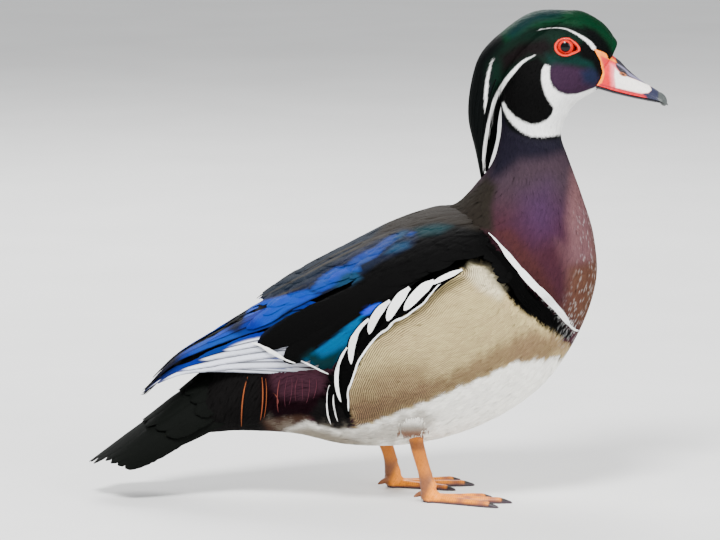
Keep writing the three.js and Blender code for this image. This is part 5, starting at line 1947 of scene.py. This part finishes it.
def leg_paint(points, foot):
    """Orange skin with a dark ring at the joint, dark webs, dark rear edges that are partly painted shade,
    painted shade in the toe creases and along the floor.
    """
    c = colours()
    mark = Paint(plate_of(points), c.leg, 0)
    heel = foot["heel"]
    x, y, z = points[:, 0], points[:, 1], points[:, 2]
    patchy = np.sin(2.1 * x + 0.7 * z) * np.sin(1.7 * y + 1.3 * z) + 0.6 * np.sin(4.3 * x - 2.9 * z + 1)
    mark.lay(0.22 * smoothstep(patchy, 0.3, 1), c.leg_brown)
    # The back of the leg and foot: partly the dusky skin of the hind toe and the leg's back, partly painted
    # shade
    rear = smoothstep(heel[0] - x + 0.42 * (z - 10), -2, 3)
    mark.lay(0.8 * rear * (1 - smoothstep(z, 12, 24)), c.web_dark)
    mark.lay(0.6 * rear * smoothstep(z, 12, 24), c.leg_brown)
    ring = smoothstep(z, 29, 31.5) * (1 - smoothstep(z, 34, 36.5))
    mark.lay(0.55 * ring, c.leg_dark)
    mark.lay(smoothstep(z, 40, 43), c.leg_brown)
    on_toe = np.zeros(len(points))
    for length, spread in TOES:
        angle = foot["heading"] + foot["side"] * spread
        dx, dy = x - heel[0], y - heel[1]
        along = dx * math.cos(angle) + dy * math.sin(angle)
        away = np.abs(dy * math.cos(angle) - dx * math.sin(angle))
        width = 3.2 - 1.2 * np.clip(along / length, 0, 1)
        on_toe = np.maximum(on_toe, 1 - smoothstep(away, width - 0.6, width + 0.4))
        share = along / length
        joint = np.exp(-(((share - 0.45) / 0.06) ** 2)) + np.exp(-(((share - 0.76) / 0.07) ** 2))
        mark.lay(np.clip(joint, 0, 1) * (away < width) * 0.7 * (along > 5), c.leg_pink)
        # Painted shade in the creases between the toes' scales
        crease_shade = 0.5 + 0.5 * np.sin(along * 5.2)
        mark.lay(0.35 * crease_shade * (away < width) * (along > 7), c.leg_brown)
        mark.lay(smoothstep(share, 0.85, 0.89) * (away < width + 1.5), c.claw)
    low = 1 - smoothstep(z, 3, 7)
    ahead = smoothstep(np.hypot(x - heel[0], y - heel[1]), 6, 9)
    mark.lay((1 - on_toe) * low * ahead, c.web_dark)
    # Painted shade along the feet's lowest edge, where they meet the floor
    mark.lay(1 - smoothstep(z, 0.5, 2.2), c.web_dark)
    return mark


LEG_TOP = 40.5
LEG_REACH = 10
LEG_LEAN = 0.32


def soft_ankle(mesh, heel):
    """Rounds the lip where the shank meets the foot."""
    bm = bmesh.new()
    bm.from_mesh(mesh)
    lip = [v for v in bm.verts if 4.6 * MM < v.co.z < 16 * MM and -5 < v.co.x / MM - heel[0] < 11]
    for _ in range(110):
        bmesh.ops.smooth_vert(bm, verts=lip, factor=0.5, use_axis_x=True, use_axis_y=True, use_axis_z=True)
    bm.to_mesh(mesh)
    bm.free()


def raised_top(mesh):
    """Carries the leg's top on into the body."""
    for v in mesh.vertices:
        share = max(0, (v.co.z / MM - LEG_TOP) / 3)
        rise = LEG_REACH * min(1, share) * MM
        v.co = v.co + Vector((-LEG_LEAN * rise, 0, rise))


# Where the leg leaves the belly on the plate, and half the width of the feathers round it
CUFF = {"column": 413, "row": 417, "half": 11, "count": 560}


def cuff_piece(name, foot, draw):
    """Short brown feathers round the leg where it leaves the belly."""
    count = CUFF["count"]
    middle = CUFF["column"] - (FEET["right"]["heel"][0] - foot["heel"][0]) / PLATE_STEP
    across = np.clip(0.45 * draw.standard_normal(count), -1, 1)
    down = CUFF["row"] + 4 * across**2 + 12 * draw.random(count)
    root = np.stack((middle + CUFF["half"] * across, down), -1)
    tip = root + np.stack((-1 - 1.5 * across, 3.5 + 4.5 * draw.random(count)), -1)
    ends = body.station_of(np.vstack((root, tip))).reshape(2, count, 2)
    ends = ends + (draw.random((count, 2)) - 0.5) * (0.22, 6)
    spine = np.stack((ends[0], (ends[0] + ends[1]) / 2, ends[1]), 1)
    lift = np.stack((np.full(count, -0.8), np.full(count, 0.3), 0.3 + 0.6 * draw.random(count)), -1)
    batch = laid(body, grid_shape(2, 5), foot["side"], spine, np.full((count, 2), 0.32), lift, blunt=0.8,
                 ragged=0.5, draw=draw)
    return feather_piece(name, [batch], cuff_marks, draw)


def cuff_marks(batch):
    c = colours()
    mark = Paint(batch["places"], c.belly, 0)
    mark.lay(0.8 * smoothstep(batch["places"][..., 1], 421, 428), c.belly_grey)
    mark.lay(0.75 * smoothstep(batch["places"][..., 1], 426, 434), c.leg_brown)
    return mark


def scale_material(name):
    material = painted(name, 0.38, 0, 900, Specular_IOR_Level=0.3)
    wires = Wires(material.node_tree)
    place = wires.add("ShaderNodeTexCoord").outputs["Object"]
    cells = wires.add("ShaderNodeTexVoronoi", feature="DISTANCE_TO_EDGE")
    wires.feed(place, cells.inputs["Vector"])
    cells.inputs["Scale"].default_value = 950
    wires.bump(wires.ramp(cells.outputs["Distance"], 0, 0.12), 0.25, 0.0002, shader_of(material))
    return material


class DUCK_OT_legs(bpy.types.Operator):
    """Scaly legs and webbed feet with dark claws"""

    bl_idname = "duck.legs"
    bl_label = "Legs and feet"

    def execute(self, context):
        scaly = material_named("Scaly leg skin", scale_material)
        for word, foot in FEET.items():
            names = ["leg_" + word, "foot_" + word]
            piece = rounded_copy("scaly_leg_" + word, names, 0.00045, 4)
            soft_ankle(piece.data, foot["heel"])
            raised_top(piece.data)
            colour_mesh(piece.data, lambda points: leg_paint(points, foot))
            finish_piece(piece, scaly, names)
            cuff = cuff_piece("leg_cuff_" + word, foot, np.random.default_rng(71 + foot["side"]))
            finish_piece(cuff, soft_plumage())
            claws = claw_piece("claws_" + word, foot)
            horn = material_named("Claw horn", lambda name: painted(name, 0.35, 0.2, 1500, Coat_Weight=0.2))
            finish_piece(claws, horn)
        return {"FINISHED"}


def claw_piece(name, foot):
    """Curved claws over the tips of the toes."""
    bm = bmesh.new()
    for length, spread in TOES:
        angle = foot["heading"] + foot["side"] * spread
        ring = bmesh.ops.create_cone(bm, cap_ends=True, segments=14, radius1=1, radius2=1, depth=1)["verts"]
        long_edges = [e for e in bm.edges
                      if e.verts[0] in ring and abs(e.verts[0].co.z - e.verts[1].co.z) > 0.5]
        bmesh.ops.subdivide_edges(bm, edges=long_edges, cuts=8, use_grid_fill=True)
        for v in [v for v in bm.verts if not v.tag]:
            share = v.co.z + 0.5
            thick = blend(1.5, 0.25, share**1.3)
            reach = length - CLAW + 0.5 + (CLAW - 0.2) * share
            sideways = v.co.x * thick * 0.8
            up = 1.7 - 1.25 * share**1.6 + v.co.y * thick
            x = foot["heel"][0] + reach * math.cos(angle) - sideways * math.sin(angle)
            y = foot["heel"][1] + reach * math.sin(angle) + sideways * math.cos(angle)
            v.co = Vector((x, y, max(up, 0.02))) * MM
            v.tag = True
    bmesh.ops.recalc_face_normals(bm, faces=bm.faces[:])
    mesh = smoothed(mesh_of(name, bm))
    colour_mesh(mesh, lambda points: Paint(plate_of(points), colours().claw, 0))
    return new_object(name, mesh)


# The camera's sensor in millimetres, and the lights: place and size in metres, and power beside the key
# light's
SENSOR = 36
LIGHTS = [
    ("key", (-0.35, -1.2, 1.7), 0.6, 1),
    ("fill", (1.5, -1.2, 0.9), 1.4, 0.45),
    ("rim", (-0.3, 1.3, 1.3), 1.2, 0.5),
]
LIT_POINT = (0, 0, 0.14)
SKY_COLOUR = (0.86, 0.87, 0.89, 1)


def aim_camera(scene):
    """A camera with the photo's view."""
    camera = bpy.data.cameras.new("Camera")
    camera.sensor_width = SENSOR
    camera.lens = SENSOR * VIEW_DISTANCE / (2 * PLATE_MIDDLE[0] * PLATE_STEP)
    camera.clip_end = 100
    watcher = new_object("Camera", camera)
    watcher.location = Vector(VIEW_TARGET + VIEW_BACK * VIEW_DISTANCE) * MM
    watcher.rotation_euler = (math.pi / 2 - VIEW_TILT, 0, 0)
    scene.camera = watcher


def lay_floor():
    """A wide pale floor that belongs to the stage."""
    bm = bmesh.new()
    bmesh.ops.create_grid(bm, x_segments=2, y_segments=2, size=30)
    floor = new_object("floor", mesh_of("floor", bm))
    material = new_material("Pale floor", 0.85)
    wires = Wires(material.node_tree)
    place = wires.add("ShaderNodeTexCoord").outputs["Object"]
    shade = wires.ramp(wires.noise(place, 8, 3), 0.3, 0.7, 0, 1)
    colour = wires.mixed(shade, (0.72, 0.72, 0.71, 1), (0.76, 0.76, 0.75, 1))
    wires.feed(colour, material.node_tree.nodes["Principled BSDF"].inputs["Base Color"])
    floor.data.materials.append(material)


def hang_light(name, place, size, power):
    """A round soft light that points at the bird."""
    light = bpy.data.lights.new(name, "AREA")
    light.energy = power
    light.shape = "DISK"
    light.size = size
    lamp = new_object(name, light)
    lamp.location = place
    lamp.rotation_euler = (Vector(LIT_POINT) - Vector(place)).to_track_quat("-Z", "Y").to_euler()


class DUCK_OT_stage(bpy.types.Operator):
    """Camera, soft lights and a plain pale floor"""

    bl_idname = "duck.stage"
    bl_label = "Stage"

    def execute(self, context):
        stage = context.scene.duck_stage
        aim_camera(context.scene)
        lay_floor()
        for name, place, size, share in LIGHTS:
            hang_light(name, place, size, stage.key * share)
        world = bpy.data.worlds.new("Studio")
        world.use_nodes = True
        world.node_tree.nodes["Background"].inputs[0].default_value = SKY_COLOUR
        world.node_tree.nodes["Background"].inputs[1].default_value = stage.sky
        context.scene.world = world
        return {"FINISHED"}


def colour_of(red, green, blue, label):
    """A colour setting from screen values between 0 and 255."""
    linear = [(v / 255 / 12.92) if v < 11 else ((v / 255 + 0.055) / 1.055) ** 2.4 for v in (red, green, blue)]
    return FloatVectorProperty(name=label, description=label + " of the drake", subtype="COLOR",
                               size=3, min=0, max=1, default=linear)


class DuckColours(bpy.types.PropertyGroup):
    """Colours of the plumage and the bare parts"""

    white: colour_of(244, 244, 242, "White marks")
    black: colour_of(2, 2, 2, "Velvet black")
    crown: colour_of(1, 41, 21, "Crown green")
    crown_teal: colour_of(2, 30, 30, "Rear crown teal")
    dark_green: colour_of(5, 27, 18, "Green above the eye")
    eye_green: colour_of(7, 40, 35, "Green under the eye")
    crest_black: colour_of(2, 4, 4, "Crest black")
    temple: colour_of(13, 8, 9, "Temple")
    cheek: colour_of(47, 29, 48, "Cheek purple")
    cheek_blue: colour_of(24, 31, 53, "Cheek blue")
    collar_black: colour_of(22, 20, 30, "Black under the collar")
    neck: colour_of(53, 41, 49, "Neck")
    breast: colour_of(54, 28, 37, "Breast")
    burgundy: colour_of(58, 31, 32, "Lower breast side")
    breast_front: colour_of(97, 68, 71, "Breast front")
    breast_brown: colour_of(82, 54, 43, "Lower breast front")
    breast_rim: colour_of(92, 62, 49, "Breast middle")
    back_bronze: colour_of(31, 27, 23, "Back")
    belly: colour_of(245, 243, 234, "Belly")
    belly_grey: colour_of(128, 120, 107, "Rear belly")
    buff: colour_of(172, 154, 110, "Flank")
    flank_cream: colour_of(199, 188, 154, "Flank front")
    flank_brown: colour_of(109, 83, 62, "Lower flank")
    undertail: colour_of(13, 12, 12, "Under the tail")
    undertail_brown: colour_of(56, 38, 30, "Before the tail")
    maroon: colour_of(50, 27, 36, "Rump side")
    maroon_deep: colour_of(14, 2, 6, "Lower rump side")
    plume_pink: colour_of(88, 45, 56, "Fine rump plumes")
    plume_orange: colour_of(133, 69, 41, "Rump plumes")
    slate: colour_of(7, 19, 32, "Ridge of the wing")
    ridge_edge: colour_of(50, 47, 43, "Pale edges on the ridge")
    breast_violet: colour_of(58, 38, 67, "Violet sheen of the breast")
    navy: colour_of(12, 19, 36, "Between the blue patches")
    blue: colour_of(15, 55, 138, "Wing blue")
    blue_dim: colour_of(18, 42, 92, "Upper wing blue")
    blue_deep: colour_of(7, 36, 110, "Flight feather blue")
    indigo: colour_of(5, 5, 22, "Flight feather tips")
    violet: colour_of(27, 60, 184, "Violet spot")
    teal: colour_of(7, 78, 121, "Wing patch")
    # Painted shade of the wing patch, also laid as a painted sheen on the back
    teal_dark: colour_of(4, 37, 42, "Wing patch shade")
    teal_grey: colour_of(17, 47, 70, "Blue-grey patches")
    silver: colour_of(213, 217, 231, "Flight feather silver")
    silver_grey: colour_of(128, 128, 130, "Flight feather grey")
    # Also laid on the flight feathers' lower margins, partly as painted shade between them
    shaft: colour_of(17, 19, 27, "Feather shafts")
    tail: colour_of(7, 9, 7, "Tail")
    iris: colour_of(197, 27, 12, "Iris")
    iris_rim: colour_of(64, 12, 8, "Iris rim")
    pupil: colour_of(3, 3, 4, "Pupil")
    lid: colour_of(225, 47, 25, "Eyelids")
    # Painted shade in the lids' groove
    lid_groove_shade: colour_of(119, 19, 10, "Groove inside the lids")
    bill_red: colour_of(206, 17, 30, "Bill red")
    bill_pink: colour_of(233, 129, 137, "Bill pink")
    bill_white: colour_of(246, 240, 232, "Bill white")
    bill_dark_red: colour_of(138, 27, 45, "Bill edge line")
    bill_lilac: colour_of(115, 110, 135, "Bill ridge")
    bill_black: colour_of(24, 22, 32, "Bill black")
    nostril_rim: colour_of(156, 91, 54, "Nostril rim")
    bill_blue: colour_of(32, 35, 58, "Bill tip")
    bill_yellow: colour_of(250, 132, 5, "Bill base yellow")
    nail: colour_of(65, 70, 69, "Bill nail")
    # Also laid as painted shade in the toe creases, and partly as shade on the legs' backs
    leg_brown: colour_of(110, 56, 23, "Brown of the legs")
    leg_pink: colour_of(127, 70, 70, "Toe joints")
    leg: colour_of(246, 143, 0, "Legs")
    leg_dark: colour_of(83, 48, 33, "Leg joints")
    # Also laid as painted shade along the floor, and partly as shade low on the feet's backs
    web_dark: colour_of(59, 48, 55, "Webs")
    claw: colour_of(35, 30, 33, "Claws")


class DuckSizes(bpy.types.PropertyGroup):
    """Sizes of the coat"""

    coat_spacing: FloatProperty(name="Coat spacing",
                                description="Spacing of the body feathers, as a share of the usual",
                                default=1, min=0.7, max=4)


class DuckStage(bpy.types.PropertyGroup):
    """The light"""

    key: FloatProperty(name="Key light", description="Power of the main light", default=77, unit="POWER")
    sky: FloatProperty(name="Sky", description="Strength of the light from all round", default=0.9)


STEPS = [DUCK_OT_stage, DUCK_OT_skin, DUCK_OT_coat, DUCK_OT_crest, DUCK_OT_wings, DUCK_OT_flank_rims,
         DUCK_OT_tail, DUCK_OT_rump_plumes, DUCK_OT_eyes, DUCK_OT_eyelids, DUCK_OT_bill, DUCK_OT_legs]


class DUCK_PT_panel(bpy.types.Panel):
    """Lists the steps that build the bird and its settings"""

    bl_idname = "DUCK_PT_panel"
    bl_label = "Duck"
    bl_space_type = "VIEW_3D"
    bl_region_type = "UI"
    bl_category = "Duck"

    def draw(self, context):
        for step in STEPS:
            self.layout.operator(step.bl_idname)
        for group in (context.scene.duck_sizes, context.scene.duck_stage, context.scene.duck_colours):
            for name in group.__annotations__:
                self.layout.prop(group, name)


CLASSES = [DuckColours, DuckSizes, DuckStage, *STEPS, DUCK_PT_panel]


def register():
    for one in CLASSES:
        bpy.utils.register_class(one)
    bpy.types.Scene.duck_colours = PointerProperty(type=DuckColours)
    bpy.types.Scene.duck_sizes = PointerProperty(type=DuckSizes)
    bpy.types.Scene.duck_stage = PointerProperty(type=DuckStage)


def unregister():
    del bpy.types.Scene.duck_colours
    del bpy.types.Scene.duck_sizes
    del bpy.types.Scene.duck_stage
    for one in reversed(CLASSES):
        bpy.utils.unregister_class(one)


def main():
    register()
    for step in STEPS:
        group, name = step.bl_idname.split(".")
        getattr(getattr(bpy.ops, group), name)()


if __name__ == "__main__":
    main()
